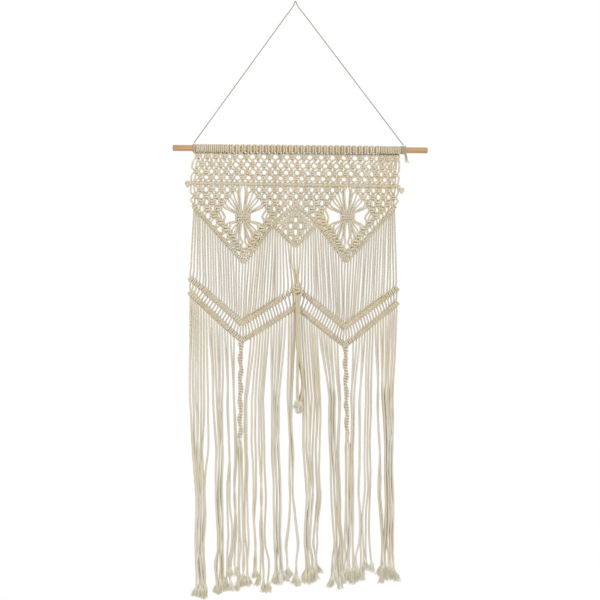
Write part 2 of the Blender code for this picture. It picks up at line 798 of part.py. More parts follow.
def make_tassel():
    """Strands from the tip of the small V, gathered in front of the zigzag's middle."""
    head_x, head_y, head_z = TASSEL_HEAD
    head_section = cross_section("tassel_head_section", knot_outline(TASSEL_HEAD_HEIGHT, KNOT_DEPTH))
    left = (head_x - TASSEL_HEAD_WIDTH / 2, head_y, head_z)
    right = (head_x + TASSEL_HEAD_WIDTH / 2, head_y, head_z)
    head_route = ([left, TASSEL_HEAD, right], [TASSEL_HEAD_END, 1.0, TASSEL_HEAD_END], None)
    head = carried_along("tassel_head", head_section, [head_route], HANGING_PARTS)
    into = TASSEL_HEAD_HEIGHT / 4
    routes = []
    for column in range(TASSEL_COLUMNS):
        top_x = strand_at_border(TASSEL_TOP_STRANDS[column])
        foot_x = head_x + (column - (TASSEL_COLUMNS - 1) / 2) * TASSEL_PITCH
        top_z = TASSEL_TOP_Z + TASSEL_TOP_SLOPE * abs(top_x)
        routes.append(strand([(foot_x, head_y, head_z + into), (top_x, TASSEL_TOP_Y, top_z)]))
    hanging = []
    for column in range(TASSEL_COLUMNS):
        offset = (column - (TASSEL_COLUMNS - 1) / 2) * TASSEL_PITCH
        for layer in (-1, 1):
            y = head_y + layer * TASSEL_PITCH * 0.45
            top = (head_x + offset, y, head_z - into)
            foot = (head_x + offset * TASSEL_FLARE, y, TASSEL_END_Z[column] - 0.002 * (1 + layer))
            hanging.append(strand([top, foot]))
    section = cross_section("tassel_section", regular(TASSEL_STRAND_WIDTH / math.sqrt(3), 3))
    join_into(head, "centre_tassel", COTTON, [
        carried_along("tassel_top_strands", section, routes),
        carried_along("tassel_strands", section, hanging),
    ])


make_rod()
make_ties()
make_hanging_cord()
make_panel()
make_fringe()
make_tassel()
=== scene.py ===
"""A macrame wall hanging: cotton cord knotted onto a wooden rod, which a thinner cord carries.

The cotton strands are laid out one by one, 0 to 79 from the left, in the order a maker works
them: lark's heads on the rod, a net of square knots, hitches along the level bar, two gathered
medallions, hitches along the slanted border and the zigzag lines, and loose ends that gather
into locks. Each strand is a path of points, and geometry nodes turn the paths into three-ply
cord. +X runs along the rod, the front faces -Y, +Z is up, and every length is in metres.
"""
import math
import random

import bpy
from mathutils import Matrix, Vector


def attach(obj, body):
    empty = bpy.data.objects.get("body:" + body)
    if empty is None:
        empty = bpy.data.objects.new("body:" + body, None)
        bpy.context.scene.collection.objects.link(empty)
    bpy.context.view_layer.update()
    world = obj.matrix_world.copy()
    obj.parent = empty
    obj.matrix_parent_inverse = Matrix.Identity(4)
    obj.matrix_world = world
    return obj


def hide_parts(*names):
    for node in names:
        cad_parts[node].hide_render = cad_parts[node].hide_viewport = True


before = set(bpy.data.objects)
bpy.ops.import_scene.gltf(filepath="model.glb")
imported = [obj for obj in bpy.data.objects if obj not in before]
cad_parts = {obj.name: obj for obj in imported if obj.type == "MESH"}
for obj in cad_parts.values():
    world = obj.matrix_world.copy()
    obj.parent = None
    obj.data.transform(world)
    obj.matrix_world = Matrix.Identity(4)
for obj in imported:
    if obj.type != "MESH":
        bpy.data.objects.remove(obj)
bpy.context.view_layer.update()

# -------- sizes

# The rod and the thin cord that carries it
ROD_LENGTH = 0.610
ROD_RADIUS = 0.007
ROD_LEFT_END = -0.289
ROD_AXIS_Z = -0.340
ROD_GAP = 0.0003  # between the rod and the turns on it
THIN_RADIUS = 0.0015
THIN_BEND = 0.008  # how much of each leg bends over the hook
THIN_PEAK = 0.0035  # how far the bend rounds off the tip
THIN_LAY = 0.011
THIN_GROOVE = 0.78
THIN_TURN = ROD_RADIUS + ROD_GAP + THIN_RADIUS
TIES = (
    # name, first turn x, last turn x, turns
    ("cord_tie_left", -0.2440, -0.2376, 2),
    ("cord_tie_right", 0.2546, 0.2706, 5),
)
STEPS_A_TURN = 14
TIE_ENDS = (
    # aside, how far the free end hangs below the rod
    (-0.0022, 0.019),
    (0.0000, 0.0215),
    (0.0026, 0.0205),
)

# The cotton cord
STRANDS = 80
HALF = STRANDS // 2
CORD_RADIUS = 0.0023
WRAP_RADIUS = 0.0027
HANGING_RADIUS = 0.0022
LOOSE_RADIUS = 0.0026
CARRIER_RADIUS = 0.0019
LAY_LENGTH = 0.020  # for one turn of the plies
GROOVE = 0.88  # radius between the plies, as a share of the cord's
LOOSE_GROOVE = 0.92
RING_STEP = 0.0026  # between two rings of a cord's mesh
TUCK = 0.0016  # how far a strand's end is tucked into its next stretch
TUCKED_SHARE = 0.7  # of its radius, at the tucked end

# The heading: heads counted from the left, x
HEADING = ((0, -0.237), (8, -0.160), (34, 0.205), (40, 0.254))

# A head on the rod: the two points of its bend, the turn round the rod, and where it leaves
SNUG = 0.98  # share of its room that a wrap fills
HEAD_BEND = ((0.0030, 0.0030), (0.0022, 0.0018))  # behind the turn, below the rod's axis
HEAD_DEGREES = (165, 135, 100, 65, 30, 0, -30, -65, -95, -125)
HEAD_LIFT = 0.0006
HEAD_BEHIND = 0.0048
HEAD_BELOW = 0.0112

# A square knot of size 1, and the wide ones of the gathers and the tassel
KNOT_HEIGHT = 0.0108
KNOT_HALF_WIDTH = 0.0034
KNOT_REACH = 0.0090  # to where its outer strands come in and leave
KNOT_JITTER = 0.0005
NET_PULL = 0.0010  # how far the net draws those strands in
GATHER_KNOT = {"size": 1.15, "fillers_wide": 0.0260, "away": 0.0165}
TASSEL_KNOT = {"size": 1.50, "fillers_wide": 0.0095, "away": 0.0070}

# Double half hitches: pitch along the line, radius of their turns, radius of the cord there
BAR_HITCH = (0.0063, 0.0031, 0.0018)
BORDER_HITCH = (0.0089, 0.0032, 0.0022)
SMALL_V_HITCH = (0.0092, 0.0032, 0.0022)
ZIGZAG_HITCH = (0.0088, 0.0044, 0.0024)
UNDER_AND_OVER = ((0.00, -1.05), (-0.85, -0.55), (-0.80, 0.65), (0.00, 1.10))
HITCH_STOPS = (
    # along the line in quarters of the pitch, rise and forward in radii of the turns
    (-1.0, 0.95, -0.65),
    *((-1.0, rise, forward) for rise, forward in UNDER_AND_OVER),
    (-0.9, 0.85, 0.60),
    (0.0, 0.90, -0.55),
    *((1.0, rise, forward) for rise, forward in UNDER_AND_OVER),
    (0.9, 0.85, 0.60),
    (0.5, 0.70, -0.75),
    (0.1, -0.60, -0.80),
)

# The level bar and the knots that end its carrier cord
BAR = ((-0.2500, -0.4195), (0.2520, -0.4250))
END_KNOTS = (
    # x, z
    (-0.2550, -0.4215),
    (0.2580, -0.4345),
)
END_KNOT_SIZE = 0.0018
END_KNOT_RADIUS = 0.0033
END_KNOT_STEPS = 24

# The slanted border, the small V inside its centre, and the two zigzag lines: x, z
BORDER = (
    (-0.243, -0.470),
    (-0.123, -0.603),
    (-0.054, -0.514),
    (0.000, -0.469),
    (0.054, -0.512),
    (0.123, -0.602),
    (0.243, -0.472),
)
SMALL_V = ((-0.054, -0.514), (0.000, -0.566), (0.054, -0.512))
UPPER_ZIGZAG = (
    (-0.250, -0.638),
    (-0.128, -0.744),
    (0.003, -0.664),
    (0.120, -0.756),
    (0.246, -0.668),
)
LOWER_ZIGZAG = (
    (-0.250, -0.671),
    (-0.128, -0.784),
    (0.003, -0.706),
    (0.120, -0.799),
    (0.246, -0.702),
)
BORDER_TIPS = [BORDER[k][0] for k in (0, 1, 3, 5, 6)]
SMALL_V_STRANDS = range(32, 48)

# Strands shift along a slanted line to meet it square: how far, and how near a corner it fades
BORDER_SHIFT = (0.0050, 0.022)
SMALL_V_SHIFT = (0.0030, 0.012)
ZIGZAG_SHIFT = (0.0060, 0.026)

# They run straight to the line or from it for a short way, unless they come too near or aslant
BORDER_LEAD = 0.0110
DIAMOND_LEAD = 0.0095
LEAD_NEAREST = 0.003
LEAD_ASLANT = 0.95

# The gathers at the middle of the two medallions, and the strands of each half that they hold
GATHERS = ((-0.1260, -0.4985), (0.1250, -0.4975))
GATHERED = range(12, 28)
FIRST_ROW_BELOW_GATHERS = -0.5095

# The two innermost strands on each side of a gather keep a slit open between them: height, x
SLIT = ((0.0610, 0.0068), (0.0300, 0.0046), (-0.0200, 0.0040), (-0.0450, 0.0060))
SLIT_STRAND = 0.0034  # from the inner strand of each side to the outer one
SLIT_DEPTH = 0.0014

# Where the single strands hang
HANGING = (
    # strands counted from the left, x
    (0, -0.2525),
    (20, -0.128),
    (34, -0.034),
    (38, -0.001),
    (40, 0.003),
    (42, 0.0075),
    (46, 0.037),
    (60, 0.120),
    (80, 0.250),
)

# Down a hanging strand: share of the way, and how much of its lean and depth it has there
HANGING_COURSE = ((0.14, 0.2), (0.38, 0.9), (0.62, 1.0), (0.85, 0.5))
LEAN_TO_PARTNER = (-0.06, 0.14)
HANGING_DEPTH = 0.0016
HANGING_WANDER = 0.0004

# Rows of square knots. Each row lists the first strand of its groups of four in the left half,
# and the right half mirrors them.
MIDDLE_GROUP = 38  # its four strands straddle the middle, so it has no mirrored group
MEDALLION_GROUP = 18  # its four strands are under the middle of the left medallion
NET_ROWS = (
    # z, knot size, first strands of the groups
    (-0.3590, 1.00, (0, 4, 8, 12, 16, 20, 24, 28, 32, 36)),
    (-0.3780, 1.00, (2, 6, 10, 14, 18, 22, 26, 30, 34, 38)),
    (-0.3950, 1.00, (0, 4, 8, 12, 16, 20, 24, 28, 32, 36)),
    (-0.4085, 0.90, (2, 6, 10, 14, 18, 22, 26, 30, 34, 38)),
)
MEDALLION_ROWS = (
    # z, knot size, shift towards the medallion's middle, first strands of the groups
    (-0.4345, 1.05, 0.0000, (2, 6, 10, 14, 22, 26, 30, 34, 38)),
    (-0.4500, 1.10, 0.0000, (0, 4, 8, 12, 24, 28, 32, 36)),
    (-0.4650, 1.20, 0.0000, (2, 6, 10, 26, 30, 34, 38)),
    (-0.4795, 1.30, 0.0020, (4, 8, 28, 32)),
    (-0.4940, 1.35, 0.0045, (6, 30)),
    (-0.5095, 1.45, 0.0060, (8, 28)),
    (-0.5255, 1.50, 0.0075, (10, 26)),
    (-0.5405, 1.50, 0.0065, (12, 24)),
    (-0.5545, 1.50, 0.0030, (14, 22)),
    (-0.5675, 1.40, -0.0020, (16, 20)),
    (-0.5800, 1.45, 0.0000, (18,)),
)
DIAMOND_ROWS = (
    # z, knot size, first strands of all the groups, which aren't mirrored
    (-0.4910, 1.05, (38,)),
    (-0.5045, 1.10, (36, 40)),
    (-0.5180, 1.10, (34, 38, 42)),
    (-0.5330, 1.10, (36, 40)),
    (-0.5480, 1.05, (38,)),
)

# The fringe gathers into locks on its way down
LOCK_LEVELS = (-0.920, -1.035, -1.150, -1.265)
LOCKS = (
    # first, last, x at the four levels, width there, lowest z
    (0, 6, (-0.2345, -0.2325, -0.2280, -0.2275), (0.0350, 0.0255, 0.0200, 0.0200), -1.380),
    (7, 7, (-0.2085, -0.2090, -0.2175, -0.2175), (0.0000, 0.0000, 0.0000, 0.0000), -1.372),
    (8, 13, (-0.1845, -0.1820, -0.1830, -0.1810), (0.0240, 0.0180, 0.0165, 0.0150), -1.366),
    (14, 15, (-0.1615, -0.1600, -0.1590, -0.1595), (0.0065, 0.0065, 0.0095, 0.0120), -1.367),
    (16, 17, (-0.1470, -0.1435, -0.1450, -0.1465), (0.0070, 0.0095, 0.0070, 0.0095), -1.350),
    (22, 23, (-0.1195, -0.1185, -0.1170, -0.1200), (0.0085, 0.0085, 0.0085, 0.0145), -1.358),
    (24, 25, (-0.1010, -0.0995, -0.0980, -0.0975), (0.0120, 0.0120, 0.0090, 0.0070), -1.354),
    (26, 28, (-0.0830, -0.0805, -0.0785, -0.0775), (0.0145, 0.0145, 0.0130, 0.0155), -1.368),
    (29, 34, (-0.0485, -0.0475, -0.0460, -0.0415), (0.0205, 0.0180, 0.0180, 0.0170), -1.360),
    (35, 36, (-0.0155, -0.0135, -0.0135, -0.0210), (0.0095, 0.0070, 0.0060, 0.0085), -1.357),
    (37, 38, (-0.0095, -0.0085, -0.0045, 0.0035), (0.0070, 0.0070, 0.0060, 0.0075), -1.361),
    (41, 46, (0.0325, 0.0315, 0.0335, 0.0295), (0.0290, 0.0240, 0.0180, 0.0150), -1.352),
    (47, 49, (0.0555, 0.0545, 0.0550, 0.0495), (0.0135, 0.0120, 0.0095, 0.0120), -1.350),
    (50, 55, (0.0880, 0.0895, 0.0955, 0.1030), (0.0160, 0.0155, 0.0175, 0.0220), -1.366),
    (56, 57, (0.1060, 0.1045, 0.1045, 0.1130), (0.0075, 0.0075, 0.0075, 0.0075), -1.363),
    (62, 64, (0.1395, 0.1390, 0.1360, 0.1365), (0.0100, 0.0085, 0.0100, 0.0120), -1.360),
    (65, 66, (0.1565, 0.1555, 0.1555, 0.1560), (0.0060, 0.0060, 0.0060, 0.0075), -1.353),
    (67, 69, (0.1765, 0.1760, 0.1745, 0.1720), (0.0170, 0.0170, 0.0170, 0.0195), -1.350),
    (70, 71, (0.2010, 0.2035, 0.2070, 0.2105), (0.0065, 0.0065, 0.0100, 0.0075), -1.350),
    (72, 79, (0.2255, 0.2275, 0.2285, 0.2290), (0.0270, 0.0210, 0.0200, 0.0235), -1.362),
)
LOCK_DRAW = ((0.22, 0.28), (0.66, 0.66))  # share of the way to the lock, and of the way down
LOCK_START = 0.016  # below the zigzag line
COLUMN = 0.0064  # from a strand to the one beside it in a lock
LOCK_EASE = 1.12  # a lock is this much wider than the table says
LAYER_STEP = 0.0041  # from a strand to the one behind it
LOCK_JITTER = 0.0009
STRAY_LEVEL = -1.300
STRAY = 0.0048
FRAY = 0.014
UNEVEN = 0.022  # between the shortest and the longest strand of a lock

# How a loose end sways: by itself, with its lock, and to the front and back
SWAY_STEP = 0.030
ONCE_ROUND = 6.28
OWN_SWAY = 0.0007
OWN_WAVE = (0.075, 0.15)
LOCK_SWAY = 0.0019
LOCK_WAVE = 0.19
DEEP_SWAY = 0.0012

# The two cords of half knots, which turn into a spiral
SINNETS = (
    # first strand, x at the top, x at the foot, foot z, x at the three levels below, width, lowest z
    (18, -0.1308, -0.1325, -1.012, (-0.1315, -0.1310, -0.1285), (0.0100, 0.0120, 0.0215), -1.366),
    (58, 0.1205, 0.1250, -1.006, (0.1270, 0.1300, 0.1280), (0.0120, 0.0170, 0.0220), -1.360),
)
SINNET_DRAW = 0.0125  # below the zigzag line, where its four strands come together
SINNET_START = 0.0085
HALF_KNOT_PITCH = 0.0056
HALF_TURN_PITCH = 0.035
HALF_KNOT_WIDTH = 0.0054
HALF_KNOT_DEPTH = 0.0031
HALF_KNOT_RADIUS = 0.0021
CORE_RADIUS = 0.0020
CORE_ASIDE = 0.0014
HALF_KNOT = (
    # aside in widths, forward in depths, up
    (-1.0, 0.0, 0.0019),
    (-0.45, 0.95, 0.0008),
    (0.45, 0.95, -0.0008),
)

# The cords that start behind the tassel's head, and the tassel in the middle
START_BEHIND = 0.0030
START_ABOVE = 0.008
TASSEL_HEAD = Vector((0.0015, -0.0121, -0.667))
TASSEL_STRANDS = (38, 39, 40, 41)
TASSEL_END_Z = (-0.948, -0.952, -0.957, -0.954)
# Its four strands on their way to its head: share of the way, z
TASSEL_APPROACH = ((0.04, -0.588), (0.20, -0.606), (0.62, -0.624), (0.95, -0.646))
TASSEL_COURSE = (
    # shift of the middle, gap between its two bundles, share of a strand's offset, below the head
    (0.0000, 0.0000, 0.85, 0.014),
    (0.0010, 0.0000, 0.60, 0.055),
    (0.0030, 0.0000, 0.60, 0.135),
    (0.0052, 0.0050, 0.25, 0.190),
    (0.0060, 0.0066, 0.25, 0.225),
)
TASSEL_TIP = (0.0016, 0.0030, 0.5)

# The brushes of yarns at the cut ends
YARNS = 88
YARN_RADIUS = 0.00060
CUT_RADIUS = 0.0022
BACK_FROM_CUT = 0.008
LOCK_BRUSH = {"Flare": 0.0088, "Length": 0.033}
TASSEL_BRUSH = {"Flare": 0.0066, "Length": 0.026}

# The camera that took the photo, fitted to it
CAMERA_PLACE = (-1.1144, -4.3534, -0.5114)
CAMERA_AIM = (0.0108, 0.0, -0.6908)
CAMERA_LENS = 115.8
SENSOR_WIDTH = 36.0
LIGHT_AIM = (0.0, 0.0, -0.65)
LIGHTS = (
    # name, place, size, power
    ("soft_window", (-1.6, -2.6, 1.6), 1.6, 26.0),
    ("soft_fill", (2.4, -2.2, 0.2), 1.8, 8.0),
    ("soft_back", (0.6, 2.8, 0.8), 1.8, 12.0),
)

chance = random.Random(7)


# -------- strands as they are laid out

def read(table, at):
    """The value of a two-column table at a place between its rows."""
    for (left, low), (right, high) in zip(table, table[1:]):
        if at <= right or (right, high) == table[-1]:
            return low + (high - low) * (at - left) / (right - left)


class Strand:
    """One length of cord: points with a radius each, and the piece that each stretch belongs to."""

    def __init__(self, piece="heading_cords"):
        self.points = []
        self.radii = []
        self.pieces = []
        self.fine = []
        self.piece = piece

    def to(self, x, y, z, radius=CORD_RADIUS, fine=1):
        """Leads the strand to its next point, in at least as many steps as fine says."""
        self.points.append(Vector((x, y, z)))
        self.radii.append(radius)
        self.pieces.append(self.piece)
        self.fine.append(fine)

    def enter(self, piece):
        """From its last point on, the strand belongs to another piece."""
        self.piece = piece
        self.pieces[-1:] = [piece] * min(1, len(self.pieces))


def smooth_run(strand):
    """Points, radii and lengths along a smooth curve through a strand's points, piece by piece.

    Where a strand passes from one piece to the next, each end is tucked into the other.
    """
    points = strand.points
    count = len(points)
    knots = [0.0]
    for a, b in zip(points, points[1:]):
        knots.append(knots[-1] + max(1e-6, (b - a).length) ** 0.5)
    runs = []
    along = 0.0
    last = points[0]
    for k in range(count - 1):
        p1, p2 = points[k], points[k + 1]
        p0 = points[k - 1] if k else p1 * 2 - p2
        p3 = points[k + 2] if k + 2 < count else p2 * 2 - p1
        t1, t2 = knots[k], knots[k + 1]
        t0 = knots[k - 1] if k else t1 - (t2 - t1)
        t3 = knots[k + 2] if k + 2 < count else t2 + (t2 - t1)
        span = t2 - t1
        m1 = ((p1 - p0) / (t1 - t0) - (p2 - p0) / (t2 - t0) + (p2 - p1) / span) * span
        m2 = ((p2 - p1) / span - (p3 - p1) / (t3 - t1) + (p3 - p2) / (t3 - t2)) * span
        if not runs or runs[-1][0] != strand.pieces[k]:
            runs.append((strand.pieces[k], []))
            if k:
                tuck = m1.normalized() * TUCK
                tucked = strand.radii[k] * TUCKED_SHARE
                runs[-2][1].append((p1.copy(), strand.radii[k], along))
                runs[-2][1].append((p1 + tuck, tucked, along + TUCK))
                runs[-1][1].append((p1 - tuck, tucked, along - TUCK))
        steps = max(strand.fine[k], math.ceil((p2 - p1).length / RING_STEP))
        for s in range(steps):
            t = s / steps
            h00 = (1 + 2 * t) * (1 - t) ** 2
            h10 = t * (1 - t) ** 2
            h01 = t * t * (3 - 2 * t)
            h11 = t * t * (t - 1)
            here = h00 * p1 + h10 * m1 + h01 * p2 + h11 * m2
            along += (here - last).length
            last = here
            radius = strand.radii[k] + (strand.radii[k + 1] - strand.radii[k]) * t
            runs[-1][1].append((here, radius, along))
    along += (points[-1] - last).length
    runs[-1][1].append((points[-1].copy(), strand.radii[-1], along))
    return runs


strands = [Strand() for _ in range(STRANDS)]
DOWN = Vector((0.0, 0.0, -0.02))


def heading_x(index):
    return read(HEADING, (index + 0.5) / 2)


def bar_x(index):
    return BAR[0][0] + (index + 0.5) / STRANDS * (BAR[1][0] - BAR[0][0])


def border_x(index):
    """x on the slanted border, where each leg takes a quarter of the strands."""
    return read([(k * STRANDS / 4, x) for k, x in enumerate(BORDER_TIPS)], index + 0.5)


def hanging_x(index):
    return read(HANGING, index + 0.5)


def net_x(index, share):
    return heading_x(index) + (bar_x(index) - heading_x(index)) * share


def medallion_x(index, share):
    return bar_x(index) + (border_x(index) - bar_x(index)) * share


def crossing_x(x, corners, side, reach, ease):
    """x moved along a bent line, up its legs (side -1) or down them (1), so strands meet it square."""
    leg = sum(x > corner for corner in corners[1:-1])
    fade = min(1.0, min(abs(x - corner) for corner in corners) / ease)
    return x + side * (1 - 2 * (leg % 2)) * fade * reach


def border_crossing(index):
    return crossing_x(border_x(index), BORDER_TIPS, -1, *BORDER_SHIFT)


def small_v_crossing(index):
    return crossing_x(border_x(index), [x for x, _z in SMALL_V], -1, *SMALL_V_SHIFT)


def zigzag_crossing(index, side):
    return crossing_x(hanging_x(index), [x for x, _z in UPPER_ZIGZAG], side, *ZIGZAG_SHIFT)


def line_frame(line, x):
    """The point of a bent line at x, and the direction of its leg there."""
    for (x0, z0), (x1, z1) in zip(line, line[1:]):
        if x <= x1 or (x1, z1) == line[-1]:
            along = Vector((x1 - x0, 0.0, z1 - z0)).normalized()
            return Vector((x, 0.0, z0 + (z1 - z0) * (x - x0) / (x1 - x0))), along


# -------- the knots

def larks_head(head):
    """Two strands from one doubled cord: its bend lies behind the rod, its ends wrap the front."""
    middle = read(HEADING, head + 0.5)
    spacing = read(HEADING, head + 1) - read(HEADING, head)
    radius = min(WRAP_RADIUS, spacing / 4 * SNUG)
    reach = ROD_RADIUS + radius * 0.45
    for side in (-1, 1):
        strand = strands[2 * head + (side + 1) // 2]
        near = middle + side * radius * SNUG
        for x, (behind, below) in zip((middle, near), HEAD_BEND):
            strand.to(x, reach + behind, ROD_AXIS_Z - below, radius, fine=2)
        for degrees in HEAD_DEGREES:
            turn = math.radians(degrees)
            out = reach + (HEAD_LIFT if degrees == HEAD_DEGREES[0] else 0.0)
            strand.to(near, -out * math.cos(turn), ROD_AXIS_Z + out * math.sin(turn), radius, fine=2)
        strand.to(near, HEAD_BEHIND, ROD_AXIS_Z - HEAD_BELOW, fine=2)


def square_knot(group, x, z, size=1.0, depth=1.0, fillers_wide=None, away=KNOT_REACH):
    """The outer strands tie round the inner ones: two bars in front, two behind, a loop at each side."""
    radius = CORD_RADIUS * (0.56 + 0.52 * size)
    height = KNOT_HEIGHT * size
    fillers = len(group) - 2
    half = fillers_wide / 2 if fillers_wide else KNOT_HALF_WIDTH * (0.3 + 0.7 * size)
    layers = 2 if fillers > 3 else 1
    deep = CORD_RADIUS * (0.85 if layers == 1 else 1.35) * depth
    front = -(deep + radius * 0.85)
    back = deep + radius * 0.75
    side = half + radius * 0.65

    def lay(strand, upper, middle=()):
        """Stops (across, up, forward) down to the knot's middle, and the same again below it."""
        lower = [(across, -up, forward) for across, up, forward in reversed(upper)]
        for across, up, forward in (*upper, *middle, *lower):
            strand.to(x + across, forward, z + up * height, radius, fine=2)

    over_the_front = (
        (-away, 0.66, 0.0),
        (-side, 0.34, -deep * 0.3),
        (-half * 0.75, 0.215, front * 0.92),
        (0.0, 0.195, front),
        (half * 0.75, 0.165, front * 0.92),
        (side, 0.08, -deep * 0.2),
    )
    round_the_back = (
        (away, 0.66, 0.0),
        (side + radius * 0.75, 0.34, front * 0.55),
        (side + radius * 0.65, 0.14, front * 0.20),
        (half * 0.8, 0.12, back * 0.85),
        (0.0, 0.13, back),
        (-half * 0.8, 0.13, back * 0.85),
        (-side - radius * 0.50, 0.17, 0.0),
    )
    lay(group[0], over_the_front)
    lay(group[-1], round_the_back, [(-side - radius * 0.30, 0.0, front * 0.70)])
    splay = 1.1 if fillers == 2 else 1.0
    for k, strand in enumerate(group[1:-1]):
        across = ((k + 0.5) / fillers - 0.5) * 2 * half
        forward = 0.0 if layers == 1 else (-1 if k % 2 else 1) * CORD_RADIUS * 0.7
        for up, wide in ((0.66, splay), (0.0, 1.0), (-0.66, splay)):
            strand.to(x + across * wide, forward, z + up * height, CORD_RADIUS)


def lead(strand, point, along, distance):
    """A strand runs square to a line for the last stretch before it, or the first after it."""
    place = point + Vector((-along.z, 0.0, along.x)) * distance
    comes = place - strand.points[-1]
    if distance < 0.0 or (comes.length > LEAD_NEAREST and comes.angle(point - place) < LEAD_ASLANT):
        strand.to(*place)


def double_hitch(strand, point, along, hitch, goes=None):
    """A strand comes straight from its last point, wraps twice round a carrier cord and goes on."""
    pitch, turn_radius, radius = hitch
    up = Vector((-along.z, 0.0, along.x))
    front = Vector((0.0, -1.0, 0.0))
    u = pitch / 4

    def clear(way):
        flat = Vector((way.x, 0.0, way.z))
        length = 1.75 * turn_radius / max(0.55, abs(flat.normalized().dot(up)))
        return flat.normalized() * min(length, flat.length * 0.7)

    comes = clear(strand.points[-1] - point)
    goes = clear(goes or up * -0.02)
    strand.to(*(point - along * (0.6 * u) + comes - front * (0.3 * turn_radius)), CORD_RADIUS, 2)
    for across, rise, forward in HITCH_STOPS:
        place = point + along * (across * u) + up * (rise * turn_radius)
        strand.to(*(place + front * (forward * turn_radius)), radius, 2)
    strand.to(*(point + goes - front * (0.1 * turn_radius)), CORD_RADIUS, 2)


# -------- laying out the panel

def groups_of(firsts):
    """The groups of a row on both halves, from the first strands listed for the left half."""
    groups = []
    for first in firsts:
        groups.append(list(range(first, first + 4)))
        if first < MIDDLE_GROUP:
            groups.append([STRANDS - 1 - i for i in range(first + 3, first - 1, -1)])
    return groups


def work_row(z, size, firsts, place_x, share, shift=0.0):
    """A row of square knots, which slopes with the level bar, the more the nearer it is."""
    slope = (BAR[1][1] - BAR[0][1]) / (BAR[1][0] - BAR[0][0])
    for group in groups_of(firsts):
        inwards = 1 if group[0] % HALF < MEDALLION_GROUP else -1
        x = sum(place_x(i, share) for i in group) / 4 + shift * inwards
        lift = slope * x * min(1.0, share + 0.3)
        jitter = chance.uniform(-KNOT_JITTER, KNOT_JITTER)
        width = place_x(group[-1], share) - place_x(group[0], share)
        tied = [strands[i] for i in group]
        depth = 0.9 + 0.2 * size
        square_knot(tied, x + jitter, z + lift + jitter, size, depth, away=width / 1.5 - NET_PULL)


for head in range(HALF):
    larks_head(head)
for strand in strands:
    strand.enter("upper_net")
for z, size, firsts in NET_ROWS:
    work_row(z, size, firsts, net_x, (z - ROD_AXIS_Z) / (BAR[0][1] - ROD_AXIS_Z))

for index, strand in enumerate(strands):
    strand.piece = "level_bar"
    point, along = line_frame(BAR, bar_x(index))
    double_hitch(strand, point, along, BAR_HITCH)
    strand.enter("medallion_net")


def gather(held, middle_x, z):
    """Sixteen strands fan in, pass through a wide square knot, and fan out again."""
    inner = list(enumerate(held))[6:10]

    def keep_slit(rows):
        for rise, wide in rows:
            for k, strand in inner:
                side = -1 if k < 8 else 1
                outer = SLIT_STRAND if k in (6, 9) else 0.0
                deep = -SLIT_DEPTH if k % 2 else SLIT_DEPTH
                strand.to(middle_x + side * (wide + outer), deep, z + rise)

    keep_slit(SLIT[:2])
    square_knot(held, middle_x, z, **GATHER_KNOT)
    keep_slit(SLIT[2:])


for z, size, shift, firsts in MEDALLION_ROWS:
    if z == FIRST_ROW_BELOW_GATHERS:
        for half, place in enumerate(GATHERS):
            gather([strands[i + half * HALF] for i in GATHERED], *place)
    share = (z - BAR[0][1]) / (BORDER[1][1] - BAR[0][1])
    work_row(z, size, firsts, medallion_x, share, shift)

for index, strand in enumerate(strands):
    above_small_v = index in SMALL_V_STRANDS
    strand.piece = "slanted_border"
    point, along = line_frame(BORDER, border_crossing(index))
    lead(strand, point, along, BORDER_LEAD)
    double_hitch(strand, point, along, BORDER_HITCH, None if above_small_v else DOWN)
    if above_small_v:
        lead(strand, point, along, -DIAMOND_LEAD)
    strand.enter("diamond_net" if above_small_v else "hanging_strands")
for z, size, firsts in DIAMOND_ROWS:
    for first in firsts:
        group = range(first, first + 4)
        square_knot([strands[i] for i in group], sum(border_x(i) for i in group) / 4, z, size)
for index in SMALL_V_STRANDS:
    strand = strands[index]
    strand.piece = "slanted_border"
    point, along = line_frame(SMALL_V, small_v_crossing(index))
    lead(strand, point, along, DIAMOND_LEAD)
    double_hitch(strand, point, along, SMALL_V_HITCH, DOWN)
    strand.enter("hanging_strands")


def hang_between(index):
    """A strand falls from the border to the zigzag beside its neighbours."""
    strand = strands[index]
    top_x, top_z = strand.points[-1].x, strand.points[-1].z
    foot_x = zigzag_crossing(index, 1)
    foot_z = read(UPPER_ZIGZAG, foot_x)
    partner = index + 1 if index % 2 == 0 else index - 1
    lean = (hanging_x(partner) - hanging_x(index)) * chance.uniform(*LEAN_TO_PARTNER)
    y = chance.uniform(-HANGING_DEPTH, HANGING_DEPTH)
    for share, pull in HANGING_COURSE:
        wander = chance.uniform(-HANGING_WANDER, HANGING_WANDER)
        x = top_x + (foot_x - top_x) * share + lean * pull + wander
        strand.to(x, y * pull, top_z + (foot_z - top_z) * share, HANGING_RADIUS)


for index in range(STRANDS):
    if index not in TASSEL_STRANDS:
        hang_between(index)

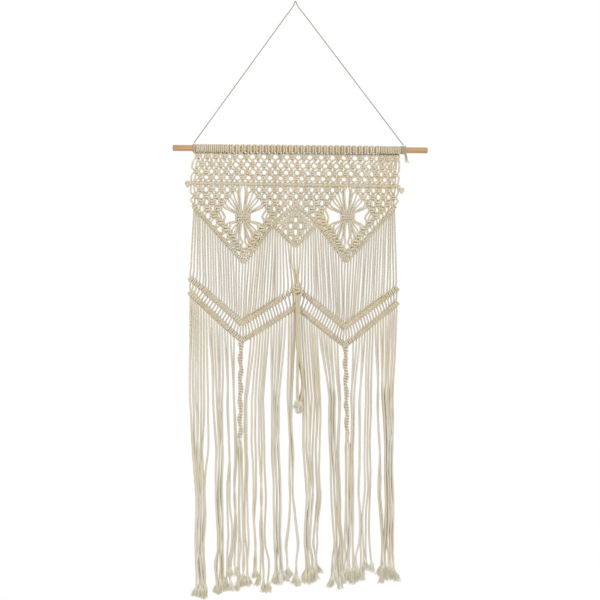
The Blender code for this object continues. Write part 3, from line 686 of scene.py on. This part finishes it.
# The zigzag lines. Four strands leave for the tassel, and the two outer ones of those places
# are filled by cords that start behind the tassel's head.
tassel_cords = [strands[i] for i in TASSEL_STRANDS]
sinnet_tops = {
    first + k: Vector((top_x, 0.0, read(LOWER_ZIGZAG, top_x) - SINNET_DRAW))
    for first, top_x, *_rest in SINNETS
    for k in range(4)
}
for index in TASSEL_STRANDS:
    strands[index] = Strand()
for index, strand in enumerate(strands):
    if index in TASSEL_STRANDS[1:-1]:
        continue
    upper, upper_leg = line_frame(UPPER_ZIGZAG, zigzag_crossing(index, 1))
    lower, lower_leg = line_frame(LOWER_ZIGZAG, zigzag_crossing(index, -1))
    strand.piece = "upper_zigzag"
    if not strand.points:
        strand.to(upper.x, START_BEHIND, upper.z + START_ABOVE, CARRIER_RADIUS)
    double_hitch(strand, upper, upper_leg, ZIGZAG_HITCH, lower - upper)
    strand.enter("zigzag_strip")
    strand.piece = "lower_zigzag"
    goes = sinnet_tops[index] - lower if index in sinnet_tops else DOWN
    double_hitch(strand, lower, lower_leg, ZIGZAG_HITCH, goes)
    strand.enter("fringe_left" if index < HALF else "fringe_right")


# -------- the fringe

cut_ends = []


def across(k, count, width):
    """x and y of strand k from the middle of its lock: side by side, then one behind another."""
    room = max(0.0, width * LOCK_EASE - 2 * LOOSE_RADIUS)
    columns = min(count, round(room / COLUMN) + 1)
    column = k * columns // count
    members = [i for i in range(count) if i * columns // count == column]
    x = ((column + 0.5) / columns - 0.5) * room * columns / (columns - 1) if columns > 1 else 0.0
    y = (members.index(k) - (len(members) - 1) / 2) * LAYER_STEP
    return x + chance.uniform(-LOCK_JITTER, LOCK_JITTER), y


def fall(strand, stops, lock_phase, looseness, outward=0.0):
    """A loose end follows its stops (x, y, z) down and sways a little on the way to its cut end."""
    strand.to(*stops[0])
    own_phase = chance.uniform(0.0, ONCE_ROUND)
    own_length = chance.uniform(*OWN_WAVE)
    amount = chance.uniform(0.5, 1.0) * looseness
    for (x0, y0, z0), (x1, y1, z1) in zip(stops, stops[1:]):
        steps = max(1, round((z0 - z1) / SWAY_STEP))
        for step in range(steps):
            share = (step + 1) / steps
            x = x0 + (x1 - x0) * share
            y = y0 + (y1 - y0) * share
            z = z0 + (z1 - z0) * share
            loose = min(1.7, (stops[0][2] - z) / 0.35) * amount
            own_wave = ONCE_ROUND * z / own_length + own_phase
            lock_wave = ONCE_ROUND * z / LOCK_WAVE + lock_phase
            x += loose * (OWN_SWAY * math.sin(own_wave) + LOCK_SWAY * math.sin(lock_wave))
            y += loose * DEEP_SWAY * math.cos(own_wave * 0.8)
            strand.to(x, y, z, LOOSE_RADIUS)
    axis = (strand.points[-1] - strand.points[-2]).normalized()
    lean = Vector((outward * 0.10 + chance.uniform(-0.18, 0.18), chance.uniform(-0.12, 0.12), 0.0))
    start = strand.points[-1] - axis * BACK_FROM_CUT
    cut_ends.append((start, (axis + lean) * chance.uniform(0.75, 1.05)))
    strand.radii[-1] = LOOSE_RADIUS * 0.8


def lock_stops(stops, k, count, places, widths, levels):
    """Adds the stops of strand k at the levels of its lock, and returns its last x and y there."""
    for place, width, level_z in zip(places, widths, levels):
        side, deep = across(k, count, width)
        stops.append((place + side, deep, level_z))
    return side, deep


def stray_stops(stops, side, deep, end_z, spread=(1.0, 1.0)):
    """Adds the last two stops of a loose end, where it strays from its lock."""
    stray = chance.uniform(-STRAY, STRAY)
    stops.append((stops[-1][0] + side * 0.10 + stray, deep * spread[0], STRAY_LEVEL))
    stops.append((stops[-1][0] + side * 0.15 - stray * 0.6, deep * spread[1], end_z))


def hang_lock(first, last, places, widths, lowest):
    """The strands of a lock draw together from the zigzag line and hang side by side."""
    count = last - first + 1
    lock_phase = chance.uniform(0.0, ONCE_ROUND)
    for k in range(count):
        x = zigzag_crossing(first + k, -1)
        top_z = read(LOWER_ZIGZAG, x) - LOCK_START
        side, deep = across(k, count, widths[0])
        stops = [(x, 0.0, top_z)]
        for share, down in LOCK_DRAW:
            drawn_x = x + (places[0] + side - x) * share
            stops.append((drawn_x, deep * share, top_z + (LOCK_LEVELS[0] - top_z) * down))
        side, deep = lock_stops(stops, k, count, places, widths, LOCK_LEVELS)
        end_z = lowest + FRAY + chance.uniform(0.0, UNEVEN)
        stray_stops(stops, side, deep, end_z, (1.1, 1.15))
        looseness = 1.0 if count < 5 else 0.75
        fall(strands[first + k], stops, lock_phase, looseness, (k + 0.5) / count * 2 - 1)


for lock in LOCKS:
    hang_lock(*lock)


def half_knot(group, k, centre, turn, share):
    """One outer strand passes in front of the core and the other behind it, turned by an angle."""
    out = Vector((math.cos(turn), -math.sin(turn), 0.0))
    fore = Vector((-math.sin(turn), -math.cos(turn), 0.0))
    width = HALF_KNOT_WIDTH - 0.0010 * share
    over, under = (group[0], group[3]) if k % 2 == 0 else (group[3], group[0])
    for strand, sign in ((over, 1), (under, -1)):
        for aside, forward, up in HALF_KNOT:
            place = centre + out * (aside * sign * width) + fore * (forward * sign * HALF_KNOT_DEPTH)
            strand.to(place.x, place.y, place.z + up, HALF_KNOT_RADIUS, fine=2)
    for strand, side in ((group[1], -1), (group[2], 1)):
        strand.to(*(centre + out * (side * CORE_ASIDE)), CORE_RADIUS)


def work_sinnet(first, top_x, foot_x, foot_z, places, widths, lowest):
    """Four strands worked in half knots, which turn into a spiral on the way down."""
    group = strands[first:first + 4]
    for strand in group:
        strand.enter("sinnets")
    line_z = min(read(LOWER_ZIGZAG, hanging_x(i)) for i in range(first, first + 4))
    top_z = line_z - SINNET_START
    knots = round((top_z - foot_z) / HALF_KNOT_PITCH)
    for k in range(knots):
        share = (k + 0.5) / knots
        waver = 0.0013 * math.sin(0.75 * k)
        x = top_x + (foot_x - top_x) * share + waver + chance.uniform(-0.0005, 0.0005)
        z = top_z + (foot_z - top_z) * share
        turn = math.radians(180.0) * (top_z - z) / HALF_TURN_PITCH
        half_knot(group, k, Vector((x, 0.0, z)), turn, share)
    lock_phase = chance.uniform(0.0, ONCE_ROUND)
    for k, strand in enumerate(group):
        strand.enter("fringe_left" if first < HALF else "fringe_right")
        end_z = lowest + FRAY + chance.uniform(0.0, UNEVEN)
        stops = [(foot_x + (k - 1.5) * 0.0016, 0.0, foot_z - 0.012)]
        side, deep = lock_stops(stops, k, 4, places, widths, LOCK_LEVELS[1:])
        stray_stops(stops, side, deep, end_z)
        fall(strand, stops, lock_phase, 1.0, (k + 0.5) / 2 - 1)


for sinnet in SINNETS:
    work_sinnet(*sinnet)

# The tassel: four strands from the tip of the small V, and four cords hung in at its head
head = TASSEL_HEAD
for k, strand in enumerate(tassel_cords):
    strand.enter("tassel_strands")
    tip_x = strand.points[-1].x
    close_x = head.x - 0.001 + (k - 1.5) * 0.0026
    for share, z in TASSEL_APPROACH:
        y = head.y * share * 0.7 + (0.0013 if k % 2 else -0.0013)
        strand.to(tip_x + (close_x - tip_x) * share, y, z)
starts = [len(strand.points) for strand in tassel_cords]
square_knot(tassel_cords, head.x, head.z, **TASSEL_KNOT)
for strand, start in zip(tassel_cords, starts):
    for point in strand.points[start:]:
        point.y += head.y
hung_in = [Strand("tassel_strands") for _ in tassel_cords]
for k, strand in enumerate(hung_in):
    strand.to(head.x + (k - 1.5) * 0.0030, head.y + 0.0012, head.z + 0.002)
for k, strand in enumerate(tassel_cords + hung_in):
    layer, place = divmod(k, 4)
    offset = (place - 1.5) * 0.0036
    y = head.y + (-0.0024 if layer == 0 else 0.0026)
    end_z = TASSEL_END_Z[place] + FRAY + chance.uniform(0.0, 0.006)
    bundle = -1 if place % 2 == layer else 1
    stops = []
    for shift, gap, kept, below in TASSEL_COURSE:
        stops.append((head.x + shift + bundle * gap + offset * kept, y, head.z - below))
    shift, gap, kept = TASSEL_TIP
    stops.append((head.x + shift + bundle * gap + offset * kept, y, end_z))
    fall(strand, stops, 0.0, 1.2)


# -------- cords from the paths

def link(obj):
    bpy.context.scene.collection.objects.link(obj)
    return obj


def paths_as_curves(name, runs, lay_length):
    """One curve object with a spline for each run of (point, radius, length along the cord)."""
    curve = bpy.data.curves.new(name, "CURVE")
    curve.dimensions = "3D"
    curve.twist_mode = "MINIMUM"
    for run in runs:
        spline = curve.splines.new("POLY")
        spline.points.add(len(run) - 1)
        flat = []
        for point, _radius, _along in run:
            flat += [point.x, point.y, point.z, 1.0]
        spline.points.foreach_set("co", flat)
        spline.points.foreach_set("radius", [radius for _point, radius, _along in run])
        turns = [along / lay_length * 2 * math.pi for _point, _radius, along in run]
        spline.points.foreach_set("tilt", turns)
    return link(bpy.data.objects.new(name, curve))


class NodeBench:
    """Adds nodes to a tree. Their inputs are given by name or in order, as links or as values."""

    def __init__(self, tree):
        self.tree = tree

    def wire(self, node, inputs):
        for socket, value in inputs.items() if isinstance(inputs, dict) else enumerate(inputs):
            if isinstance(value, bpy.types.NodeSocket):
                self.tree.links.new(value, node.inputs[socket])
            else:
                node.inputs[socket].default_value = value

    def node(self, kind, inputs=(), **settings):
        node = self.tree.nodes.new(kind)
        for title, value in settings.items():
            setattr(node, title, value)
        self.wire(node, inputs)
        return node

    def add(self, kind, inputs=(), take=None, **settings):
        """Adds a node and returns the output to take from it, or else its first one in use."""
        outputs = self.node(kind, inputs, **settings).outputs
        return outputs[take] if take else next(socket for socket in outputs if socket.enabled)

    def sum_of(self, operation, *values, **settings):
        return self.add("ShaderNodeMath", values, operation=operation, **settings)

    def vector_sum(self, operation, *values):
        return self.add("ShaderNodeVectorMath", values, operation=operation)

    def random_between(self, low, high, seed):
        limits = {"Min": low, "Max": high, "Seed": seed}
        return self.add("FunctionNodeRandomValue", limits, data_type="FLOAT")

    def keep(self, geometry, name, value, kind="FLOAT", domain="POINT"):
        """Stores a value on the geometry as an attribute."""
        inputs = {"Geometry": geometry, "Name": name, "Value": value}
        return self.add("GeometryNodeStoreNamedAttribute", inputs, data_type=kind, domain=domain)

    def recall(self, name, kind="FLOAT"):
        """Reads the attribute of that name."""
        return self.add("GeometryNodeInputNamedAttribute", {"Name": name}, data_type=kind)


def new_tree(name, inputs):
    """A geometry tree with named inputs: its bench, what it is given, and its output node."""
    tree = bpy.data.node_groups.new(name, "GeometryNodeTree")
    tree.interface.new_socket("Geometry", in_out="INPUT", socket_type="NodeSocketGeometry")
    for title, kind, value in inputs:
        socket = tree.interface.new_socket(title, in_out="INPUT", socket_type="NodeSocket" + kind)
        if value is not None:
            socket.default_value = value
    tree.interface.new_socket("Geometry", in_out="OUTPUT", socket_type="NodeSocketGeometry")
    return NodeBench(tree), tree.nodes.new("NodeGroupInput").outputs, tree.nodes.new("NodeGroupOutput")


def sweep_section(bench, paths, section, scale, cotton, made):
    """The last steps of a tree: a section of radius 1 swept along the paths, smooth, in its cotton."""
    place = bench.add("GeometryNodeInputPosition")
    around = bench.keep(section, "around", place, "FLOAT_VECTOR")
    course = {"Curve": paths, "Profile Curve": around, "Scale": scale, "Fill Caps": True}
    swept = bench.add("GeometryNodeCurveToMesh", course)
    smooth = bench.add("GeometryNodeSetShadeSmooth", {"Geometry": swept})
    real = bench.add("GeometryNodeRealizeInstances", {"Geometry": smooth})
    finished = bench.add("GeometryNodeSetMaterial", {"Geometry": real, "Material": cotton})
    bench.wire(made, {"Geometry": finished})


def plied_cord_tree():
    """Turns paths into cord of three plies, with attributes that the material follows."""
    inputs = (("Ply Groove", "Float", GROOVE), ("Cotton", "Material", None))
    bench, given, made = new_tree("plied_cord", inputs)
    length = bench.add("GeometryNodeSplineParameter", take="Length")
    paths = bench.keep(given["Geometry"], "along", length)
    paths = bench.keep(paths, "tone", bench.random_between(0.0, 1.0, 3), domain="CURVE")
    plies = {"Points": 3, "Outer Radius": 1.0, "Inner Radius": given["Ply Groove"]}
    section = bench.add("GeometryNodeCurveStar", plies)
    radius = bench.add("GeometryNodeInputRadius")
    sweep_section(bench, paths, section, radius, given["Cotton"], made)
    return bench.tree


def frayed_end_tree():
    """Opens each cut end, a point with an axis, into a brush of thin yarns that spread downwards."""
    inputs = (
        ("Yarns", "Int", YARNS),
        ("Length", "Float", LOCK_BRUSH["Length"]),
        ("Cord Radius", "Float", CUT_RADIUS),
        ("Flare", "Float", LOCK_BRUSH["Flare"]),
        ("Yarn Radius", "Float", YARN_RADIUS),
        ("Cotton", "Material", None),
    )
    bench, given, made = new_tree("frayed_end", inputs)
    add, sum_of = bench.add, bench.sum_of

    # Each cut end becomes a bundle of straight yarns, each with its own place, length and tone
    place = add("GeometryNodeInputPosition")
    rooted = bench.keep(given["Geometry"], "root", place, "FLOAT_VECTOR")
    bundle = {"Geometry": rooted, "Amount": given["Yarns"]}
    yarns = add("GeometryNodeDuplicateElements", bundle, domain="POINT")
    for title, value in (
        ("turn", bench.random_between(0.0, 2 * math.pi, 1)),
        ("away", sum_of("SQRT", bench.random_between(0.0, 1.0, 2))),
        ("cut", bench.random_between(0.55, 1.0, 3)),
        ("tone", bench.random_between(0.0, 1.0, 4)),
    ):
        yarns = bench.keep(yarns, title, value)
    line = add("GeometryNodeCurvePrimitiveLine")
    stations = add("GeometryNodeResampleCurve", {"Curve": line, "Count": 5})
    spread = add("GeometryNodeInstanceOnPoints", {"Points": yarns, "Instance": stations})
    real = add("GeometryNodeRealizeInstances", {"Geometry": spread})

    # The brush opens from the cord's radius to its flare, and its yarns curl a little
    down = add("GeometryNodeSplineParameter")
    turn, away, cut = bench.recall("turn"), bench.recall("away"), bench.recall("cut")
    opened = sum_of("POWER", down, 1.4)
    opening = sum_of("SUBTRACT", given["Flare"], given["Cord Radius"])
    width = sum_of("MULTIPLY_ADD", opened, opening, given["Cord Radius"])
    wave = sum_of("SINE", sum_of("MULTIPLY_ADD", down, 4.0, sum_of("MULTIPLY", turn, 5.0)))
    curl = sum_of("MULTIPLY", wave, opened)
    out = sum_of("MULTIPLY", sum_of("MULTIPLY_ADD", curl, 0.32, away), width)
    aside = sum_of("MULTIPLY", sum_of("COSINE", turn), out)
    behind = sum_of("MULTIPLY", sum_of("MULTIPLY", sum_of("SINE", turn), out), 0.75)
    sideways = add("ShaderNodeCombineXYZ", (aside, behind, 0.0))
    length = sum_of("MULTIPLY", sum_of("MULTIPLY", down, cut), given["Length"])
    along_axis = {0: bench.recall("axis", "FLOAT_VECTOR"), "Scale": length}
    stretched = add("ShaderNodeVectorMath", along_axis, operation="SCALE")
    position = bench.vector_sum("ADD", bench.recall("root", "FLOAT_VECTOR"), stretched)
    position = bench.vector_sum("ADD", position, sideways)
    moved = add("GeometryNodeSetPosition", {"Geometry": real, "Position": position})
    paths = bench.keep(moved, "along", length)
    section = add("GeometryNodeCurvePrimitiveCircle", {"Resolution": 3, "Radius": 1.0})
    radius = sum_of("MULTIPLY", given["Yarn Radius"], sum_of("MULTIPLY_ADD", down, -0.25, 1.0))
    sweep_section(bench, paths, section, radius, given["Cotton"], made)
    return bench.tree


def settle(obj, tree, **values):
    """Runs a tree on an object and returns its result as a plain mesh object of the same name."""
    modifier = obj.modifiers.new(tree.name, "NODES")
    modifier.node_group = tree
    sockets = {s.name: s.identifier for s in tree.interface.items_tree if s.in_out == "INPUT"}
    for title, value in values.items():
        modifier[sockets[title.replace("_", " ")]] = value
    bpy.context.view_layer.update()
    graph = bpy.context.evaluated_depsgraph_get()
    result = obj.evaluated_get(graph)
    mesh = bpy.data.meshes.new_from_object(result, preserve_all_data_layers=True, depsgraph=graph)
    name = obj.name
    bpy.data.objects.remove(obj, do_unlink=True)
    mesh.name = name
    return link(bpy.data.objects.new(name, mesh))


# -------- finishes

def new_material(name, roughness, sheen=0.0):
    material = bpy.data.materials.new(name)
    material.use_nodes = True
    bench = NodeBench(material.node_tree)
    shader = material.node_tree.nodes["Principled BSDF"]
    surface = {"Roughness": roughness, "Specular IOR Level": 0.25}
    bench.wire(shader, {**surface, "Sheen Weight": sheen, "Sheen Roughness": 0.6})
    return material, bench, shader


def cotton_material(name, light, shade):
    """Matt cotton: fibres that follow the twist, painted shade in the grooves between the plies, and
    cords that differ a little.
    """
    material, bench, shader = new_material(name, 0.92, 0.25)
    add, sum_of = bench.add, bench.sum_of
    around = add("ShaderNodeAttribute", take="Vector", attribute_name="around")
    along = add("ShaderNodeAttribute", take="Fac", attribute_name="along")
    tone = add("ShaderNodeAttribute", take="Fac", attribute_name="tone")
    place = add("ShaderNodeTexCoord", take="Object")

    drawn_out = add("ShaderNodeCombineXYZ", {"Z": sum_of("MULTIPLY", along, 60.0)})
    fibre_place = bench.vector_sum("ADD", around, drawn_out)
    fibres = add("ShaderNodeTexNoise", {"Vector": fibre_place, "Scale": 3.0, "Detail": 3.0})

    # From painted shade in the grooves to the full colour of the plies, with a share of fibres, cord and
    # patch
    from_middle = bench.vector_sum("LENGTH", around)
    outwards = {"Value": from_middle, "From Min": 0.72, "From Max": 1.0, "To Min": 0.0, "To Max": 0.75}
    groove = add("ShaderNodeMapRange", outwards)
    patches = add("ShaderNodeTexNoise", {"Vector": place, "Scale": 9.0, "Detail": 2.0})
    lightness = sum_of("MULTIPLY_ADD", fibres, 0.35, groove)
    lightness = sum_of("MULTIPLY_ADD", tone, 0.22, lightness)
    lightness = sum_of("MULTIPLY_ADD", patches, 0.25, lightness, use_clamp=True)

    # Broad tints of a yellower cotton
    tint_place = add("ShaderNodeMapping", {"Vector": place, "Scale": (16.0, 16.0, 5.0)})
    tint = add("ShaderNodeTexNoise", {"Vector": tint_place, "Scale": 1.0, "Detail": 1.0})
    tint_share = add("ShaderNodeMapRange", {"Value": tint, "From Min": 0.40, "From Max": 0.62})
    yellower = (light[0] * 0.98, light[1] * 0.94, light[2] * 0.84, 1.0)
    tints = {"Factor": tint_share, "A": (*light, 1.0), "B": yellower}
    tinted = add("ShaderNodeMix", tints, data_type="RGBA")
    shades = {"Factor": lightness, "A": (*shade, 1.0), "B": tinted}
    colour = add("ShaderNodeMix", shades, data_type="RGBA")
    bump = add("ShaderNodeBump", {"Height": fibres, "Strength": 0.5, "Distance": 0.0004})
    bench.wire(shader, {"Base Color": colour, "Normal": bump})
    return material


def wood_material():
    """Pale sanded wood with a long grain along the rod."""
    material, bench, shader = new_material("pale_wood", 0.6)
    place = bench.add("ShaderNodeTexCoord", take="Object")
    drawn_out = bench.add("ShaderNodeMapping", {"Vector": place, "Scale": (1.6, 70.0, 70.0)})
    streaks = {"Vector": drawn_out, "Scale": 5.0, "Detail": 6.0, "Distortion": 0.4}
    grain = bench.add("ShaderNodeTexNoise", streaks)
    pores = bench.add("ShaderNodeTexNoise", {"Vector": drawn_out, "Scale": 34.0, "Detail": 3.0})
    colours = bench.node("ShaderNodeValToRGB", {"Fac": grain})
    dark, pale = colours.color_ramp.elements
    dark.position, dark.color = 0.30, (0.35, 0.210, 0.100, 1.0)
    pale.position, pale.color = 0.72, (0.58, 0.395, 0.210, 1.0)
    bump = bench.add("ShaderNodeBump", {"Height": pores, "Strength": 0.35, "Distance": 0.0003})
    bench.wire(shader, {"Base Color": colours.outputs["Color"], "Normal": bump})
    return material


# Each cotton with the colour of its plies and the colour of the painted shade in its grooves
COTTON = cotton_material("ecru_cotton", (0.76, 0.685, 0.53), (0.38, 0.325, 0.225))
LOOSE_COTTON = cotton_material("loose_cotton", (0.75, 0.695, 0.572), (0.405, 0.363, 0.278))
# A darker copy of the cotton: painted shade on the hanging strands and the zigzag strip
SHADED_HANGING_COTTON = cotton_material("shaded_hanging_cotton", (0.675, 0.625, 0.515), (0.355, 0.318, 0.245))
# A darker, tanner copy of the cotton: painted shade on the tassel
SHADED_TASSEL_COTTON = cotton_material("shaded_tassel_cotton", (0.71, 0.63, 0.475), (0.36, 0.305, 0.205))
# A paler copy of the cotton: painted light that lifts the thin yarns of the cut ends out of their own
# shade
LIT_OPEN_COTTON = cotton_material("lit_opened_cotton", (0.90, 0.86, 0.72), (0.70, 0.65, 0.51))
THIN_COTTON = cotton_material("thin_cord_cotton", (0.42, 0.405, 0.355), (0.22, 0.21, 0.175))
TIE_COTTON = cotton_material("tie_cotton", (0.62, 0.565, 0.44), (0.33, 0.29, 0.21))
WOOD = wood_material()
PLIED_CORD = plied_cord_tree()
FRAYED_END = frayed_end_tree()


# -------- pieces of the panel and the fringe

def cord_piece(name, runs, cotton, groove, lay_length=LAY_LENGTH):
    return settle(paths_as_curves(name, runs, lay_length), PLIED_CORD, Ply_Groove=groove, Cotton=cotton)


def brushes(name, ends, sizes):
    """A mesh with a point for each cut end and its direction, opened into yarns."""
    mesh = bpy.data.meshes.new(name)
    mesh.from_pydata([tuple(point) for point, _axis in ends], [], [])
    axes = mesh.attributes.new("axis", "FLOAT_VECTOR", "POINT")
    for item, (_point, axis) in zip(axes.data, ends):
        item.vector = axis
    return settle(link(bpy.data.objects.new(name, mesh)), FRAYED_END, Cotton=LIT_OPEN_COTTON, **sizes)


def on_the_object(piece, slot, *nodes):
    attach(piece, "root")
    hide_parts(*nodes)


def carrier(piece, line, reach):
    """A cord inside a line of hitches, which reaches past them at both ends."""
    strand = Strand(piece)
    for x, z in line:
        strand.to(x, 0.0, z, CARRIER_RADIUS)
    first, second = strand.points[0], strand.points[1]
    strand.points[0] = first + (first - second).normalized() * reach
    last, before_last = strand.points[-1], strand.points[-2]
    strand.points[-1] = last + (last - before_last).normalized() * reach
    return strand


def end_knot(x, z):
    """An overhand knot at the end of the level bar's carrier: a trefoil wound until it is round."""
    strand = Strand("level_bar")
    for step in range(END_KNOT_STEPS + 1):
        t = 2 * math.pi * step / END_KNOT_STEPS
        across = math.sin(t) + 2 * math.sin(2 * t)
        rise = math.cos(t) - 2 * math.cos(2 * t)
        place = (
            x + across * END_KNOT_SIZE * 0.85,
            -math.sin(3 * t) * END_KNOT_SIZE * 1.1,
            z + rise * END_KNOT_SIZE * 1.1,
        )
        strand.to(*place, END_KNOT_RADIUS, fine=2)
    return strand


carriers = [carrier("level_bar", BAR, 0.003)]
for piece, line in (
    ("slanted_border", BORDER),
    ("slanted_border", SMALL_V),
    ("upper_zigzag", UPPER_ZIGZAG),
    ("lower_zigzag", LOWER_ZIGZAG),
):
    for leg in zip(line, line[1:]):
        carriers.append(carrier(piece, leg, 0.002))
for place in END_KNOTS:
    carriers.append(end_knot(*place))

runs_of = {}
for strand in [s for s in strands + tassel_cords + hung_in + carriers if s.points]:
    for piece, run in smooth_run(strand):
        runs_of.setdefault(piece, []).append(run)

CORD_PIECES = (
    # piece, CAD node that it replaces, cotton
    ("heading_cords", "macrame_panel", COTTON),
    ("upper_net", "macrame_panel", COTTON),
    ("level_bar", "macrame_panel", COTTON),
    ("medallion_net", "macrame_panel", COTTON),
    ("slanted_border", "macrame_panel", COTTON),
    ("diamond_net", "macrame_panel", COTTON),
    ("hanging_strands", "macrame_panel", SHADED_HANGING_COTTON),
    ("upper_zigzag", "macrame_panel", COTTON),
    ("zigzag_strip", "fringe", SHADED_HANGING_COTTON),
    ("lower_zigzag", "fringe", COTTON),
    ("fringe_left", "fringe", LOOSE_COTTON),
    ("fringe_right", "fringe", LOOSE_COTTON),
    ("sinnets", "fringe", COTTON),
    ("tassel_strands", "centre_tassel", SHADED_TASSEL_COTTON),
)
for name, node_name, cotton in CORD_PIECES:
    groove = LOOSE_GROOVE if cotton in (LOOSE_COTTON, SHADED_HANGING_COTTON) else GROOVE
    on_the_object(cord_piece(name, runs_of[name], cotton, groove), "cotton", node_name)

tassel_ends = 2 * len(TASSEL_STRANDS)
for name, node_name, ends, sizes in (
    ("frayed_ends_left", "fringe", [e for e in cut_ends[:-tassel_ends] if e[0].x < 0.0], LOCK_BRUSH),
    ("frayed_ends_right", "fringe", [e for e in cut_ends[:-tassel_ends] if e[0].x >= 0.0], LOCK_BRUSH),
    ("frayed_ends_tassel", "centre_tassel", cut_ends[-tassel_ends:], TASSEL_BRUSH),
):
    on_the_object(brushes(name, ends, sizes), "cotton", node_name)


# -------- rod, ties and hanging cord

def make_rod():
    bpy.ops.mesh.primitive_cylinder_add(
        vertices=64,
        radius=ROD_RADIUS,
        depth=ROD_LENGTH,
        location=(ROD_LEFT_END + ROD_LENGTH / 2, 0.0, ROD_AXIS_Z),
        rotation=(0.0, math.pi / 2, 0.0),
    )
    rod = bpy.context.object
    rod.name = "wooden_rod"
    bpy.ops.object.transform_apply(location=True, rotation=True, scale=True)
    edge = rod.modifiers.new("softened_ends", "BEVEL")
    edge.width = 0.0006
    edge.segments = 2
    edge.limit_method = "ANGLE"
    edge.angle_limit = math.radians(60)
    rod.data.shade_smooth()
    rod.data.set_sharp_from_angle(angle=math.radians(35))
    rod.data.materials.append(WOOD)
    on_the_object(rod, "wood", "rod")


make_rod()


def free_end(right, aside, length):
    """A short free end of the thin cord, under the last turns of the right tie."""
    strand = Strand()
    for across_share, down in ((0.7, -0.0015), (0.8, 0.004), (1.0, 0.012), (1.5, length)):
        place = (
            right - 0.0042 + aside * across_share + down * 0.22,
            -0.003 + down * 0.1,
            ROD_AXIS_Z - THIN_TURN - down,
        )
        strand.to(*place, THIN_RADIUS * 0.9, fine=3)
    return strand


def make_tie(name, left, right, turns):
    """The turns of the thin cord round the rod, and the free ends of the right tie."""
    strand = Strand()
    steps = STEPS_A_TURN * turns
    for step in range(steps + 1):
        turn = 2 * math.pi * step / STEPS_A_TURN
        x = left + THIN_RADIUS + (right - left - 2 * THIN_RADIUS) * step / steps
        y, z = -THIN_TURN * math.sin(turn), ROD_AXIS_Z + THIN_TURN * math.cos(turn)
        strand.to(x, y, z, THIN_RADIUS, fine=2)
    cords = [strand]
    if name == "cord_tie_right":
        cords += [free_end(right, aside, length) for aside, length in TIE_ENDS]
    runs = [smooth_run(cord)[0][1] for cord in cords]
    piece = cord_piece(name + "_turns", runs, TIE_COTTON, THIN_GROOVE, THIN_LAY)
    on_the_object(piece, "thin_cord", name)


for tie in TIES:
    make_tie(*tie)


def hanging_cord_route():
    """From the left tie up to the bend over the hook and down to the right tie."""
    apex_z = THIN_RADIUS
    tie_radius = ROD_RADIUS + ROD_GAP + 2 * THIN_RADIUS
    legs = []
    for _name, left, right, _turns in TIES:
        middle = (left + right) / 2
        reach = Vector((-middle, 0.0, apex_z - ROD_AXIS_Z - tie_radius)).normalized()
        end = Vector((middle, 0.0, ROD_AXIS_Z + tie_radius + ROD_GAP + THIN_RADIUS * abs(reach.x)))
        run = Vector((0.0, 0.0, apex_z - THIN_PEAK)) - end
        shoulder = end + run * (1.0 - THIN_BEND / run.length)
        legs.append([end + (shoulder - end) * s for s in (0.0, 0.1, 0.25, 0.5, 0.75, 0.9, 1.0)])
    return legs[0] + [Vector((0.0, 0.0, apex_z))] + legs[1][::-1]


hanging = Strand()
for point in hanging_cord_route():
    hanging.to(*point, THIN_RADIUS, fine=4)
hanging_run = smooth_run(hanging)[0][1]
hanging_cord = cord_piece("hanging_cord_twist", [hanging_run], THIN_COTTON, THIN_GROOVE, THIN_LAY)
on_the_object(hanging_cord, "thin_cord", "hanging_cord")
hanging_path = [point for point, _radius, _along in hanging_run]
tuple(hanging_path[0])


# -------- floor, light and camera

def make_floor():
    bpy.ops.mesh.primitive_plane_add(size=2.4, location=(0.0, 0.0, -1.60))
    floor = bpy.context.object
    floor.name = "pale_floor"
    material = bpy.data.materials.new("pale_floor_paint")
    material.use_nodes = True
    paint = {"Base Color": (0.98, 0.98, 0.98, 1.0), "Roughness": 0.9}
    NodeBench(material.node_tree).wire(material.node_tree.nodes["Principled BSDF"], paint)
    floor.data.materials.append(material)


make_floor()


def aim(obj, place, target):
    """Puts a light or a camera at a place and turns it to its target."""
    obj.location = place
    obj.rotation_euler = (Vector(target) - Vector(place)).to_track_quat("-Z", "Y").to_euler()


for name, place, size, power in LIGHTS:
    light = bpy.data.lights.new(name, "AREA")
    light.shape = "SQUARE"
    light.size = size
    light.energy = power
    aim(link(bpy.data.objects.new(name, light)), place, LIGHT_AIM)

world = bpy.context.scene.world or bpy.data.worlds.new("studio")
bpy.context.scene.world = world
world.use_nodes = True
white = {"Color": (1.0, 1.0, 1.0, 1.0), "Strength": 1.0}
NodeBench(world.node_tree).wire(world.node_tree.nodes["Background"], white)

camera_data = bpy.data.cameras.new("camera")
camera_data.sensor_width = SENSOR_WIDTH
camera_data.lens = CAMERA_LENS
camera = link(bpy.data.objects.new("camera", camera_data))
aim(camera, CAMERA_PLACE, CAMERA_AIM)
bpy.context.scene.camera = camera
bpy.context.scene.view_settings.view_transform = "Standard"
